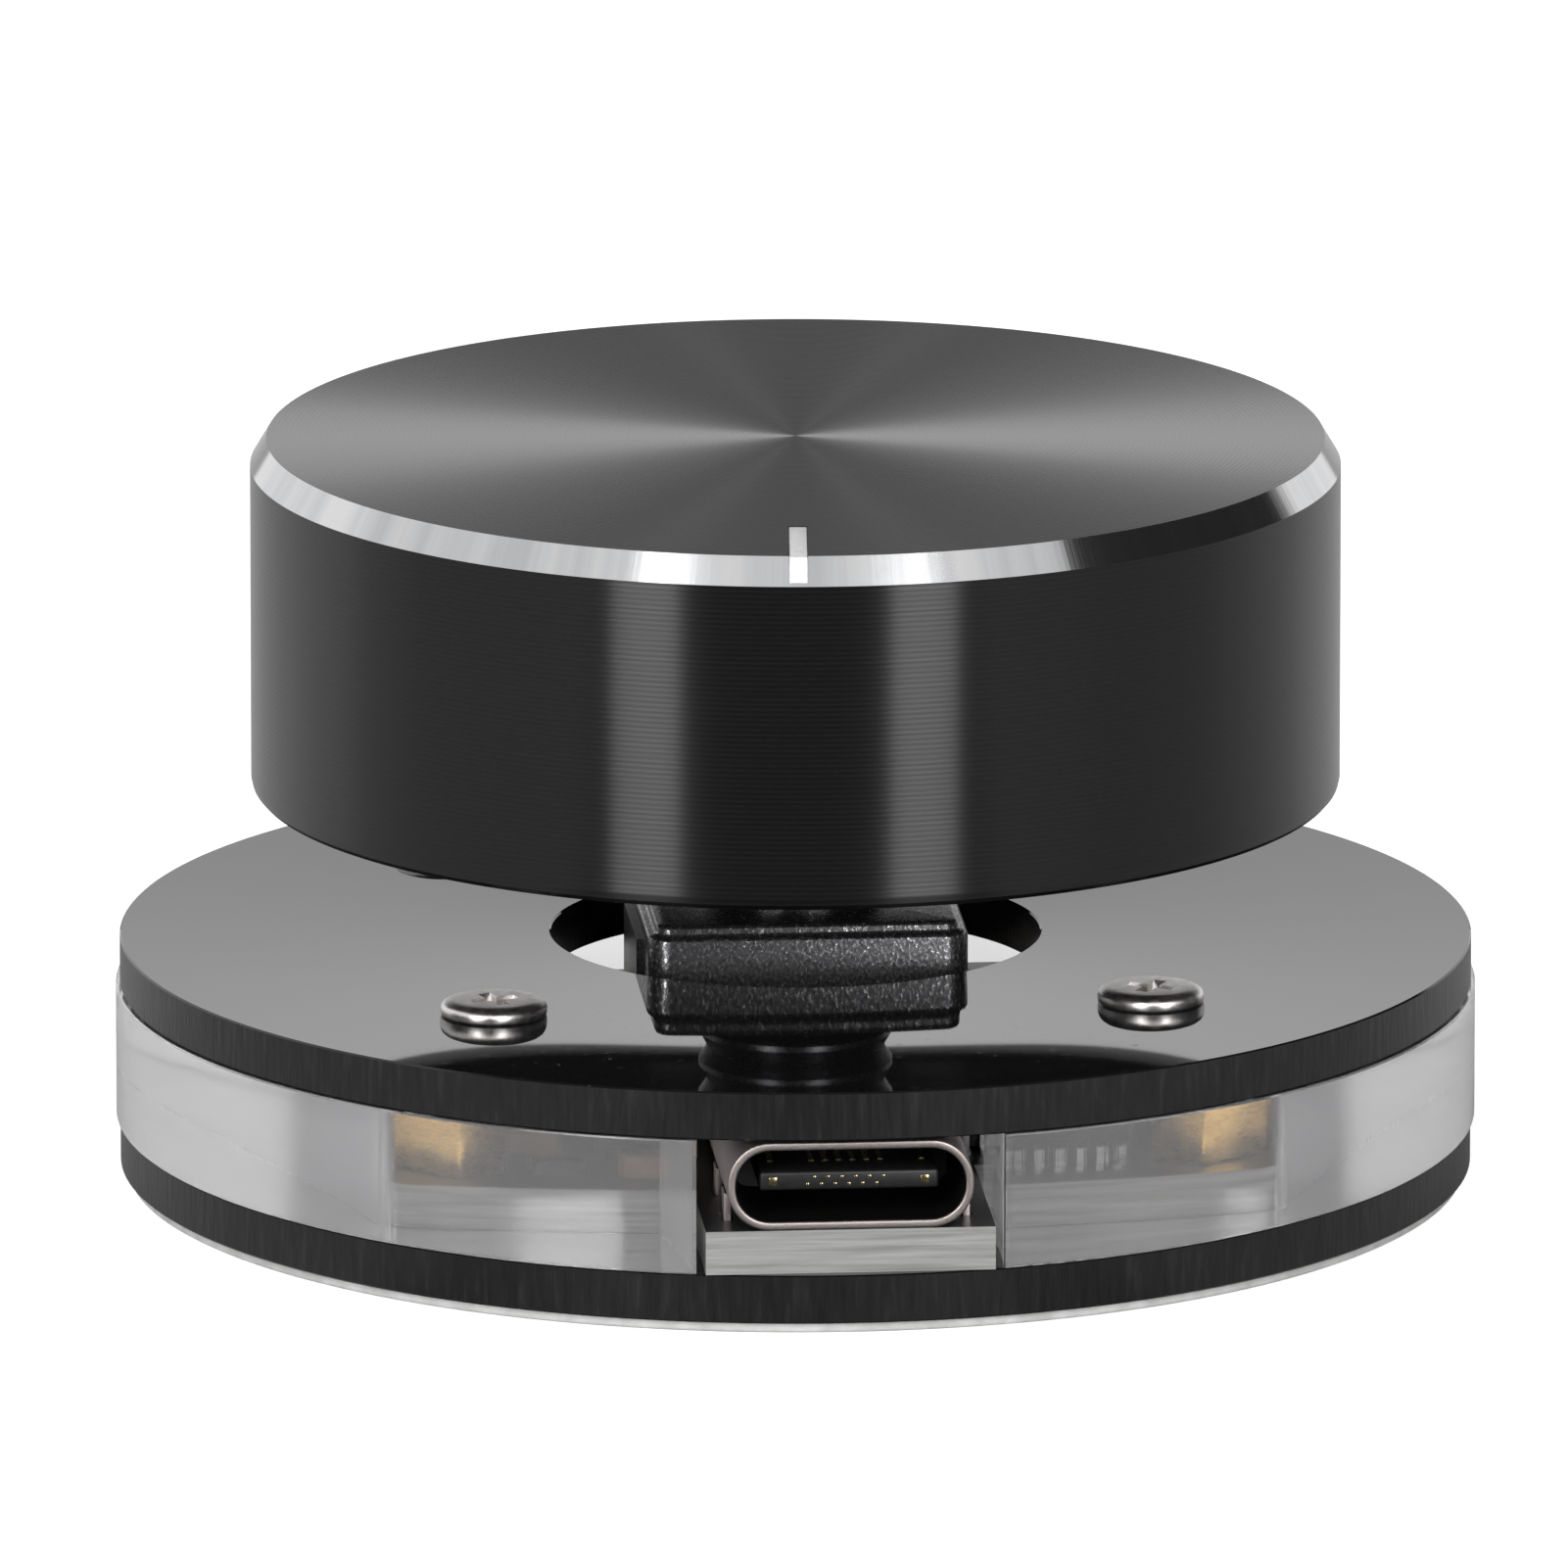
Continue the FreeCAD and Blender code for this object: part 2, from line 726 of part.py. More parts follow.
def make_controller_leads():
    """Bent leads: out of the case, down, and along the board."""
    body = new_body("controller_leads")
    level = "(chip_lift + chip_height / 2)"
    foot = "chip_width / 2 + lead_reach"
    knee = "chip_width / 2 + lead_reach / 2"
    first = "-lead_pitch * (lead_count - 1) / 2"
    for name, side in (("front", "-1"), ("back", "1")):
        sketch = new_sketch(body, name, "YZ_Plane", ("0", "0", first))
        corners = [
            ("chip_width / 2", level),
            (f"{knee} - lead_thick", level),
            (f"{knee} - lead_thick", "0"),
            (foot, "0"),
            (foot, "lead_thick"),
            (knee, "lead_thick"),
            (knee, f"{level} + lead_thick"),
            ("chip_width / 2", f"{level} + lead_thick"),
        ]
        draw_outline(sketch, [(f"{side} * ({across})", up) for across, up in corners])
        lead = pad(body, sketch, "lead_width", both_ways=True)
        in_line(body, [lead], "lead_pitch * (lead_count - 1)", "lead_count")
    stand_on_board(body)


def make_small_parts(label, shares, size):
    """Chip capacitors or resistors at their places on the board."""
    body = new_body(label)
    sketch = new_sketch(body, "cases", move=("0", "0", "board_top"))
    for across, ahead in shares:
        middle = (f"board_half * ({across})", f"board_half * ({ahead})")
        draw_outline(sketch, rectangle(
            f"{middle[0]} - {size}_length / 2", f"{middle[1]} - {size}_width / 2",
            f"{middle[0]} + {size}_length / 2", f"{middle[1]} + {size}_width / 2"))
    pad(body, sketch, f"{size}_height")


def make_leds():
    """Surface lamps near the four sides of the cavity."""
    body = new_body("leds")
    sketch = new_sketch(body, "case", move=("0", "led_spread", "board_top"))
    draw_outline(sketch, centred("led_length / 2", "led_width / 2", "led_corner"))
    lamp = pad(body, sketch, "led_height")
    around(body, [lamp], "led_count")


def make_encoder_bracket():
    """Folded steel strap under the encoder, hooked into its sides, with two lugs."""
    body = new_body("encoder_bracket")
    sketch = new_sketch(body, "strap", "XZ_Plane")
    draw_outline(sketch, [
        ("-bracket_out", "board_top"),
        ("bracket_out", "board_top"),
        ("bracket_out", "hook_top"),
        ("width_half - bracket_hook", "hook_top"),
        ("width_half - bracket_hook", "hook_top - bracket_thick"),
        ("width_half", "hook_top - bracket_thick"),
        ("width_half", "switch_bottom"),
        ("-width_half", "switch_bottom"),
        ("-width_half", "hook_top - bracket_thick"),
        ("-(width_half - bracket_hook)", "hook_top - bracket_thick"),
        ("-(width_half - bracket_hook)", "hook_top"),
        ("-bracket_out", "hook_top"),
    ])
    pad(body, sketch, "bracket_width", both_ways=True)
    sketch = new_sketch(body, "lugs", move=("0", "0", "base_plate_top"))
    draw_outline(sketch, rectangle("-bracket_out", "-lug_width / 2", "-width_half", "lug_width / 2"))
    draw_outline(sketch, rectangle("width_half", "-lug_width / 2", "bracket_out", "lug_width / 2"))
    pad(body, sketch, "board_thick")


def make_switch_base():
    """Moulded tray of the push switch with a well for the dome."""
    body = new_body("switch_base")
    sketch = new_sketch(body, "tray", move=("0", "0", "switch_bottom"))
    draw_outline(sketch, centred("width_half", "depth_half", "housing_corner"))
    pad(body, sketch, "switch_height")
    sketch = new_sketch(body, "well", move=("0", "0", "wafer_bottom + overrun"))
    draw_circle(sketch, "well_radius")
    pocket(body, sketch, "switch_height - well_floor + overrun")


def make_switch_dome():
    """Snap dome of thin sheet, raised in three steps."""
    body = new_body("switch_dome")
    revolve(body, [
        ("0", "dome_bottom + dome_height - dome_thick"),
        ("dome_radius / 3", "dome_bottom + dome_height - dome_thick"),
        ("dome_radius * 3 / 4", "dome_bottom + dome_height / 2 - dome_thick"),
        ("dome_radius - dome_thick", "dome_bottom"),
        ("dome_radius", "dome_bottom"),
        ("dome_radius * 3 / 4 + dome_thick", "dome_bottom + dome_height / 2"),
        ("dome_radius / 3", "dome_bottom + dome_height"),
        ("0", "dome_bottom + dome_height"),
    ])


def make_contact_wafer():
    """Insulating wafer with the encoder's contact tracks on top."""
    body = new_body("contact_wafer")
    sketch = new_sketch(body, "wafer", move=("0", "0", "wafer_bottom"))
    draw_outline(sketch, centred("width_half", "depth_half", "housing_corner"))
    draw_circle(sketch, "stem_radius + wafer_gap")
    pad(body, sketch, "wafer_thick")


def make_encoder_terminals():
    """Flat pins that leave the wafer, turn down and pass through the board."""
    body = new_body("encoder_terminals")
    for index, (across, side) in enumerate(pin_places()):
        sketch = new_sketch(body, f"pin{index}", "YZ_Plane", ("0", "0", across))
        corners = [
            ("depth_half", "pin_top - pin_thick"),
            ("pin_out - pin_thick", "pin_top - pin_thick"),
            ("pin_out - pin_thick", "base_plate_top"),
            ("pin_out", "base_plate_top"),
            ("pin_out", "pin_top"),
            ("depth_half", "pin_top"),
        ]
        draw_outline(sketch, [(f"{side} * ({ahead})", up) for ahead, up in corners])
        pad(body, sketch, "pin_width", both_ways=True)


def make_encoder_housing():
    """Die-cast block with a stepped top, and the threaded bushing on it."""
    body = new_body("encoder_housing")
    sketch = new_sketch(body, "block", move=("0", "0", "housing_bottom"))
    draw_outline(sketch, centred("width_half", "depth_half", "housing_corner"))
    pad(body, sketch, "housing_top - rim_drop - housing_bottom")
    sketch = new_sketch(body, "rim", move=("0", "0", "housing_top - rim_drop"))
    draw_outline(sketch, centred("width_half - rim_inset", "depth_half - rim_inset", "housing_corner"))
    pad(body, sketch, "rim_drop")
    crests = int(number("bushing_length") / number("thread_pitch"))
    thread = [("0", "housing_top"), ("bushing_radius - thread_depth", "housing_top")]
    for crest in range(crests):
        start = f"bushing_top - thread_pitch * {crests - crest}"
        thread.append(("bushing_radius - thread_depth", start))
        thread.append(("bushing_radius", f"{start} + thread_pitch / 2"))
    thread.append(("bushing_radius - thread_depth", "bushing_top"))
    thread.append(("0", "bushing_top"))
    revolve(body, thread, "thread")
    groove(body, [
        ("0", "housing_bottom - overrun"),
        ("works_radius", "housing_bottom - overrun"),
        ("works_radius", "works_top"),
        ("clip_radius + clip_pocket_gap", "works_top"),
        ("clip_radius + clip_pocket_gap", "clip_ceiling"),
        ("shaft_radius + shaft_gap", "clip_ceiling"),
        ("shaft_radius + shaft_gap", "bushing_top + overrun"),
        ("0", "bushing_top + overrun"),
    ], "works")
    sketch = new_sketch(body, "hook_notches", "XZ_Plane")
    for side in ("-1", "1"):
        middle = f"{side} * (width_half + (overrun - bracket_hook - hole_gap) / 2)"
        draw_outline(sketch, rectangle(
            f"{middle} - (overrun + bracket_hook + hole_gap) / 2",
            "hook_top - bracket_thick - hole_gap",
            f"{middle} + (overrun + bracket_hook + hole_gap) / 2",
            "hook_top + hole_gap"))
    pocket(body, sketch, "bracket_width + 2 * hole_gap", both_ways=True)


def make_detent_spring():
    """Flat ring spring under the housing's ceiling, with two points that click."""
    body = new_body("detent_spring")
    outer = "works_radius - detent_gap"
    revolve(body, [
        (f"{outer} - detent_width", "works_top - detent_thick"),
        (outer, "works_top - detent_thick"),
        (outer, "works_top"),
        (f"{outer} - detent_width", "works_top"),
    ])
    sketch = new_sketch(body, "points", move=("0", "0", "rotor_top + notch_drop / 2"))
    for side in ("-1", "1"):
        draw_circle(sketch, "notch_width / 2", f"{side} * ({outer} - detent_width / 2)", "0")
    pad(body, sketch, "works_top - detent_thick - rotor_top - notch_drop / 2")


def draw_stem(sketch, gap):
    """The stem's section: a round with two flats, or the hole that takes it."""
    radius = f"(stem_radius + {gap})"
    flat = f"(stem_radius - stem_flat + {gap})"
    chord = f"sqrt({radius} * {radius} - {flat} * {flat})"
    corners = [(f"-{flat}", f"-{chord}"), (flat, f"-{chord}"), (flat, chord), (f"-{flat}", chord)]
    points = [FreeCAD.Vector(number(across), number(up), 0) for across, up in corners]
    circle = Part.Circle(FreeCAD.Vector(0, 0, 0), FreeCAD.Vector(0, 0, 1), number(radius))
    sides = [sketch.addGeometry(Part.LineSegment(points[1], points[2])),
             sketch.addGeometry(Part.LineSegment(points[3], points[0]))]
    arcs = []
    for start, end in ((points[2], points[3]), (points[0], points[1])):
        angles = [math.atan2(point.y, point.x) for point in (start, end)]
        if angles[1] < angles[0]:
            angles[1] += 2 * math.pi
        arcs.append(sketch.addGeometry(Part.ArcOfCircle(circle, *angles)))
    for line, first, last in ((sides[0], 1, 2), (sides[1], 3, 0)):
        pin_point(sketch, line, 1, *corners[first])
        pin_point(sketch, line, 2, *corners[last])
    for line, end, arc, arc_end in ((0, 2, 0, 1), (1, 1, 0, 2), (1, 2, 1, 1), (0, 1, 1, 2)):
        sketch.addConstraint(Sketcher.Constraint("Coincident", sides[line], end, arcs[arc], arc_end))
    for arc in arcs:
        pin_point(sketch, arc, 3, None, "0")


def make_encoder_rotor():
    """Moulded disc keyed to the stem, with click notches around its top."""
    body = new_body("encoder_rotor")
    sketch = new_sketch(body, "disc", move=("0", "0", "rotor_bottom"))
    draw_circle(sketch, "rotor_radius")
    draw_stem(sketch, "stem_gap")
    pad(body, sketch, "rotor_thick")
    sketch = new_sketch(body, "notch", move=("0", "0", "rotor_top + overrun"))
    middle = "works_radius - detent_gap - detent_width / 2"
    draw_outline(sketch, rectangle(
        f"{middle} - detent_width / 2", "-notch_width / 2",
        "rotor_radius + overrun", "notch_width / 2"))
    notch = pocket(body, sketch, "notch_drop + overrun")
    around(body, [notch], "detent_count")
    turn_with_knob(body)


def make_rotor_wiper():
    """Sprung contact ring under the rotor, with arms on the tracks."""
    body = new_body("rotor_wiper")
    sketch = new_sketch(body, "ring", move=("0", "0", "wiper_bottom"))
    inner = "stem_radius + wafer_gap"
    draw_circle(sketch, inner)
    draw_circle(sketch, f"{inner} + wiper_width")
    pad(body, sketch, "wiper_thick")
    sketch = new_sketch(body, "arm", move=("0", "0", "wiper_bottom"))
    draw_outline(sketch, rectangle(
        f"{inner} + wiper_width / 2", "-wiper_width / 2",
        f"{inner} + wiper_arm", "wiper_width / 2"))
    arm = pad(body, sketch, "wiper_thick")
    around(body, [arm], "wiper_arm_count")
    turn_with_knob(body)


def make_encoder_shaft():
    """Shaft with a flat at the top, a clip groove and a stem that presses the dome."""
    body = new_body("encoder_shaft")
    revolve(body, [
        ("0", "collar_bottom"),
        ("shaft_radius", "collar_bottom"),
        ("shaft_radius", "clip_bottom"),
        ("shaft_radius - groove_depth", "clip_bottom"),
        ("shaft_radius - groove_depth", "clip_top"),
        ("shaft_radius", "clip_top"),
        ("shaft_radius", "shaft_top - shaft_chamfer"),
        ("shaft_radius - shaft_chamfer", "shaft_top"),
        ("0", "shaft_top"),
    ])
    sketch = new_sketch(body, "stem", move=("0", "0", "stem_bottom"))
    draw_stem(sketch, "0")
    pad(body, sketch, "collar_bottom - stem_bottom")
    sketch = new_sketch(body, "nose", move=("0", "0", "nose_bottom"))
    draw_circle(sketch, "nose_radius")
    pad(body, sketch, "stem_bottom - nose_bottom")
    sketch = new_sketch(body, "flat", move=("0", "0", "shaft_top + overrun"))
    draw_outline(sketch, rectangle(
        "-(shaft_radius + overrun)", "shaft_radius - flat_depth",
        "shaft_radius + overrun", "shaft_radius + overrun"))
    pocket(body, sketch, "shaft_top - hub_bottom + hub_gap / 2 + overrun")
    turn_with_knob(body)


def make_shaft_clip():
    """Open ring in the shaft's groove that stops it from being pulled out."""
    body = new_body("shaft_clip")
    sketch = new_sketch(body, "ring", move=("0", "0", "clip_bottom"))
    draw_circle(sketch, "clip_radius")
    draw_circle(sketch, "shaft_radius - groove_depth + shaft_gap")
    pad(body, sketch, "clip_thick")
    sketch = new_sketch(body, "mouth", move=("0", "0", "clip_top + overrun"))
    draw_outline(sketch, rectangle(
        "-clip_slot / 2", "0", "clip_slot / 2", "clip_radius + overrun"))
    pocket(body, sketch, "clip_thick + 2 * overrun")
    turn_with_knob(body)


def make_knob_insert():
    """Moulded insert glued in the knob: flange, hub with a flatted bore, ribs."""
    body = new_body("knob_insert")
    revolve(body, [
        ("0", "hub_bottom"),
        ("hub_radius", "hub_bottom"),
        ("hub_radius", "flange_bottom"),
        ("flange_radius", "flange_bottom"),
        ("flange_radius", "insert_top"),
        ("0", "insert_top"),
    ])
    sketch = new_sketch(body, "rib", move=("0", "0", "flange_bottom - rib_height"))
    draw_outline(sketch, rectangle(
        "hub_radius - rib_thick", "-rib_thick / 2",
        "flange_radius", "rib_thick / 2"))
    bind(sketch, "AttachmentOffset.Rotation.Angle", "rib_turn")
    rib = pad(body, sketch, "rib_height")
    around(body, [rib], "rib_count")
    sketch = new_sketch(body, "bore", move=("0", "0", "insert_top + overrun"))
    draw_flatted_round(sketch, "(shaft_radius + bore_gap)", "(shaft_radius - flat_depth + bore_gap)")
    pocket(body, sketch, "insert_top - hub_bottom + 2 * overrun")
    turn_with_knob(body)


def draw_flatted_round(sketch, radius, flat):
    """A round with one flat across its far side."""
    chord = f"sqrt({radius} * {radius} - {flat} * {flat})"
    left = FreeCAD.Vector(-number(chord), number(flat), 0)
    right = FreeCAD.Vector(number(chord), number(flat), 0)
    line = sketch.addGeometry(Part.LineSegment(right, left))
    circle = Part.Circle(FreeCAD.Vector(0, 0, 0), FreeCAD.Vector(0, 0, 1), number(radius))
    start = math.atan2(left.y, left.x)
    finish = math.atan2(right.y, right.x) + 2 * math.pi
    arc = sketch.addGeometry(Part.ArcOfCircle(circle, start, finish))
    pin_point(sketch, line, 1, chord, flat)
    pin_point(sketch, line, 2, f"-{chord}", flat)
    sketch.addConstraint(Sketcher.Constraint("Coincident", line, 2, arc, 1))
    sketch.addConstraint(Sketcher.Constraint("Coincident", line, 1, arc, 2))
    pin_point(sketch, arc, 3, None, "0")


def pointer_outline():
    """Side view of the pointer: along the top, then down the bevel, and back inside."""
    return [
        ("bevel_reach - pointer_length", "knob_top - pointer_depth"),
        ("bevel_reach - pointer_depth", "knob_top - pointer_depth"),
        ("bevel_reach - pointer_depth + bevel_width * pointer_bevel_share",
         "knob_top - pointer_depth - bevel_drop * pointer_bevel_share"),
        ("bevel_reach + bevel_width * pointer_bevel_share",
         "knob_top - bevel_drop * pointer_bevel_share"),
        ("bevel_reach", "knob_top"),
        ("bevel_reach - pointer_length", "knob_top"),
    ]


def toward_front(outline):
    """An outline of (radius, height) laid on the front half of the middle plane."""
    return [(f"-({radius})", height) for radius, height in outline]


def make_knob_shell():
    """Turned aluminium cap with a polished bevel and the pointer's slot."""
    body = new_body("knob_shell")
    revolve(body, [
        ("knob_radius - knob_wall", "knob_bottom"),
        ("knob_radius - lip_round", "knob_bottom"),
        ("knob_radius", "knob_bottom + lip_round"),
        ("knob_radius", "knob_top - bevel_drop"),
        ("bevel_reach", "knob_top"),
        ("0", "knob_top"),
        ("0", "insert_top"),
        ("knob_radius - knob_wall", "insert_top"),
    ])
    sketch = new_sketch(body, "pointer_slot", "YZ_Plane")
    inner = pointer_outline()
    raised = [
        ("bevel_reach + bevel_width * pointer_bevel_share + overrun",
         "knob_top - bevel_drop * pointer_bevel_share"),
        ("bevel_reach + bevel_width * pointer_bevel_share + overrun", "knob_top + overrun"),
        ("bevel_reach - pointer_length", "knob_top + overrun"),
    ]
    draw_outline(sketch, toward_front(inner[:4] + raised))
    pocket(body, sketch, "pointer_width", both_ways=True)
    turn_with_knob(body)


def make_knob_pointer():
    """White filling of the pointer's slot, level with the top and the bevel."""
    body = new_body("knob_pointer")
    sketch = new_sketch(body, "side", "YZ_Plane")
    draw_outline(sketch, toward_front(pointer_outline()))
    pad(body, sketch, "pointer_width", both_ways=True)
    turn_with_knob(body)


def check_everything():
    """Stop before anything is written if a feature or a node has failed."""
    doc.recompute()
    for thing in doc.Objects:
        if "Invalid" in thing.State or "Error" in thing.State:
            raise RuntimeError(f"{thing.Name} failed: {thing.State}")
    for node in nodes:
        if node.Shape.isNull() or not node.Shape.isValid() or not node.Shape.Solids:
            raise RuntimeError(f"{node.Label} has no valid solid")


def write_nodes():
    """One STEP file for each node."""
    os.makedirs("parts", exist_ok=True)
    for node in nodes:
        node.Shape.exportStep(f"parts/{node.Label}.step")
        print(node.Label, len(node.Shape.Solids), round(node.Shape.Volume, 3))


fill_sheet()
make_foot_pad()
make_base_plate()
make_light_ring()
make_top_plate()
make_top_screws()
make_base_screws()
make_standoffs()
make_circuit_board()
make_usb_shell()
make_usb_tongue()
make_usb_contacts()
make_controller_chip()
make_controller_leads()
make_small_parts("capacitors", CAPACITOR_SHARES, "capacitor")
make_small_parts("resistors", RESISTOR_SHARES, "resistor")
make_leds()
make_encoder_bracket()
make_switch_base()
make_switch_dome()
make_contact_wafer()
make_encoder_terminals()
make_encoder_housing()
make_detent_spring()
make_encoder_rotor()
make_rotor_wiper()
make_encoder_shaft()
make_shaft_clip()
make_knob_insert()
make_knob_shell()
make_knob_pointer()
check_everything()
write_nodes()
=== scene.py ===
"""Looks of a push and turn volume knob on a round acrylic base.

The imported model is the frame. Each operator makes one piece or a group of like
pieces of the object over it, and the last ones make the finishes and the stage.
"""

import math

import bpy
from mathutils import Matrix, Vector


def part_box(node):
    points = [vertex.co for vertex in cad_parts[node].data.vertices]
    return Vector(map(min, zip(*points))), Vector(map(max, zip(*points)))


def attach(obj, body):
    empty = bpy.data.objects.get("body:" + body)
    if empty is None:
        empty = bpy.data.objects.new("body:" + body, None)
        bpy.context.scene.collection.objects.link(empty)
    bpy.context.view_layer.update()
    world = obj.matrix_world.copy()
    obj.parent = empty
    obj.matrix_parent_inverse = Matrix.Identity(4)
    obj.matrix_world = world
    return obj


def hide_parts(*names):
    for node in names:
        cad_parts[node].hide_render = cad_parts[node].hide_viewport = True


bl_info = {
    "name": "Volume Knob Maker",
    "version": (1, 0, 0),
    "blender": (4, 5, 0),
    "location": "View3D > Sidebar > Volume Knob",
    "description": "Makes the pieces and finishes of a round desk volume knob",
    "category": "Object",
}

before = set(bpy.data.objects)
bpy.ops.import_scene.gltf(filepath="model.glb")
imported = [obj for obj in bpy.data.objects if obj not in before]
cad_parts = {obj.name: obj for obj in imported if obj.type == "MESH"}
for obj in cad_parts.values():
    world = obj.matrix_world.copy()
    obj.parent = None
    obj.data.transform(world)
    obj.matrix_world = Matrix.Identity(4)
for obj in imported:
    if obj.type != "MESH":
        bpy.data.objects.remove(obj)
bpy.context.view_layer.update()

MM = 0.001
SIDES = 192
CORNERS = ((-1, -1), (-1, 1), (1, -1), (1, 1))
# Upright marks of the laser on a cut rim, per radian
RIM_MARKS = 25.0


def spot(node, corner, axis):
    """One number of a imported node's box: corner 0 is the lowest, 1 the highest."""
    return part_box(node)[corner][axis]


def drum(node):
    """Radius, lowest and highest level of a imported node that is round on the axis."""
    return spot(node, 1, 0), spot(node, 0, 2), spot(node, 1, 2)


# Finishes

def linear(code):
    """An sRGB hex colour as the linear colour that shaders take."""
    parts = [int(code[i:i + 2], 16) / 255 for i in (1, 3, 5)]
    turned = [p / 12.92 if p <= 0.04045 else ((p + 0.055) / 1.055) ** 2.4 for p in parts]
    return (*turned, 1.0)


def add_node(tree, kind, settings=None, links=None):
    """A node with its settings. A link value is a number, a colour or another node's output."""
    made = tree.nodes.new(kind)
    for name, value in (settings or {}).items():
        setattr(made, name, value)
    for name, value in (links or {}).items():
        socket = made.inputs[name]
        if isinstance(value, bpy.types.NodeSocket):
            tree.links.new(value, socket)
        else:
            socket.default_value = value
    return made


def new_finish(name, **sockets):
    """A material's tree, its Principled shader with plain values set on it, and its coordinates."""
    material = bpy.data.materials.new(name)
    material.use_nodes = True
    tree = material.node_tree
    tree.nodes.clear()
    shader = add_node(tree, "ShaderNodeBsdfPrincipled", links={
        key.replace("_", " "): value for key, value in sockets.items()})
    add_node(tree, "ShaderNodeOutputMaterial", links={"Surface": shader.outputs[0]})
    return tree, shader, add_node(tree, "ShaderNodeTexCoord")


def feed(tree, shader, **outputs):
    """Other nodes' outputs go into the shader's inputs of those names."""
    for name, output in outputs.items():
        tree.links.new(output, shader.inputs[name.replace("_", " ")])


def maths(tree, operation, *values):
    """One step of arithmetic on numbers or other nodes' outputs."""
    return add_node(tree, "ShaderNodeMath", {"operation": operation}, dict(enumerate(values))).outputs[0]


def ranged(tree, value, span, result, kind="LINEAR"):
    """A number taken from one span to another."""
    made = add_node(tree, "ShaderNodeMapRange", {"interpolation_type": kind}, {
        "Value": value, "From Min": span[0], "From Max": span[1],
        "To Min": result[0], "To Max": result[1]})
    return made.outputs[0]


def step(tree, value, low, high, before, after):
    """A smooth step of a number between two places."""
    return ranged(tree, value, (low, high), (before, after), "SMOOTHSTEP")


def noise(tree, place, scale, detail, roughness=0.5, line=False):
    """Noise over a place, or along a line of numbers. One over a length gives grain of that size."""
    made = add_node(tree, "ShaderNodeTexNoise", {"noise_dimensions": "1D" if line else "3D"}, {
        "W" if line else "Vector": place, "Scale": scale, "Detail": detail, "Roughness": roughness})
    return made.outputs["Fac"]


def mixed(tree, share, first, second, kind="FLOAT"):
    """Two numbers, or two colours with the kind RGBA, mixed by a share."""
    socket, out = (6, 2) if kind == "RGBA" else (2, 0)
    made = add_node(tree, "ShaderNodeMix", {"data_type": kind}, {
        "Factor": share, socket: first, socket + 1: second})
    return made.outputs[out]


def ramp(tree, source, stops):
    """A colour ramp over a number, with its stops as pairs of place and hex colour."""
    made = add_node(tree, "ShaderNodeValToRGB", links={"Fac": source})
    band = made.color_ramp
    while len(band.elements) < len(stops):
        band.elements.new(0.5)
    for element, (at, code) in zip(band.elements, stops):
        element.position = at
        element.color = linear(code)
    return made.outputs["Color"]


def scaled(tree, place, scale, turn=(0.0, 0.0, 0.0)):
    """Object coordinates stretched by a scale on each axis."""
    made = add_node(tree, "ShaderNodeMapping", links={
        "Vector": place.outputs["Object"],
        "Rotation": turn,
        "Scale": scale,
    })
    return made.outputs["Vector"]


def bump(tree, shader, height, distance, strength=1.0):
    """A relief of a real depth on the shader."""
    made = add_node(tree, "ShaderNodeBump", links={
        "Height": height, "Distance": distance, "Strength": strength})
    feed(tree, shader, Normal=made.outputs["Normal"])


def round_place(tree, place):
    """Distance from the axis, angle round it and height, as three number sockets."""
    x, y, z = add_node(tree, "ShaderNodeSeparateXYZ", links={0: place.outputs["Object"]}).outputs
    flat = add_node(tree, "ShaderNodeCombineXYZ", links={"X": x, "Y": y})
    distance = add_node(tree, "ShaderNodeVectorMath", {"operation": "LENGTH"}, {0: flat.outputs[0]})
    return distance.outputs["Value"], maths(tree, "ARCTAN2", y, x), z


def facing(tree, place, axis):
    """How far the surface faces along an axis, from -1 to 1."""
    parts = add_node(tree, "ShaderNodeSeparateXYZ", links={0: place.outputs["Normal"]})
    return parts.outputs[axis]


def upright(tree, place):
    """1 where the surface faces up or down, 0 on an upright wall."""
    return maths(tree, "ABSOLUTE", facing(tree, place, "Z"))


def on_rim(tree, place):
    """1 on the cut rim of a sheet and 0 on its faces."""
    return maths(tree, "LESS_THAN", upright(tree, place), 0.5)


def laser_marks(tree, angle, height, rise, *detail):
    """Marks drawn out upwards by the laser on a cut rim."""
    wave = add_node(tree, "ShaderNodeCombineXYZ", links={
        "X": maths(tree, "MULTIPLY", angle, RIM_MARKS), "Y": maths(tree, "MULTIPLY", height, rise)})
    return noise(tree, wave.outputs[0], *detail)


def side_angle(tree, x, y):
    """Angle to the side from straight ahead of the knob's front, in radians."""
    return maths(tree, "ARCTAN2", x, maths(tree, "MULTIPLY", y, -1.0))


def seen(tree, path):
    """1 for what the camera sees straight or through clear sheet."""
    return maths(tree, "MAXIMUM", path["Is Camera Ray"], path["Is Transmission Ray"])


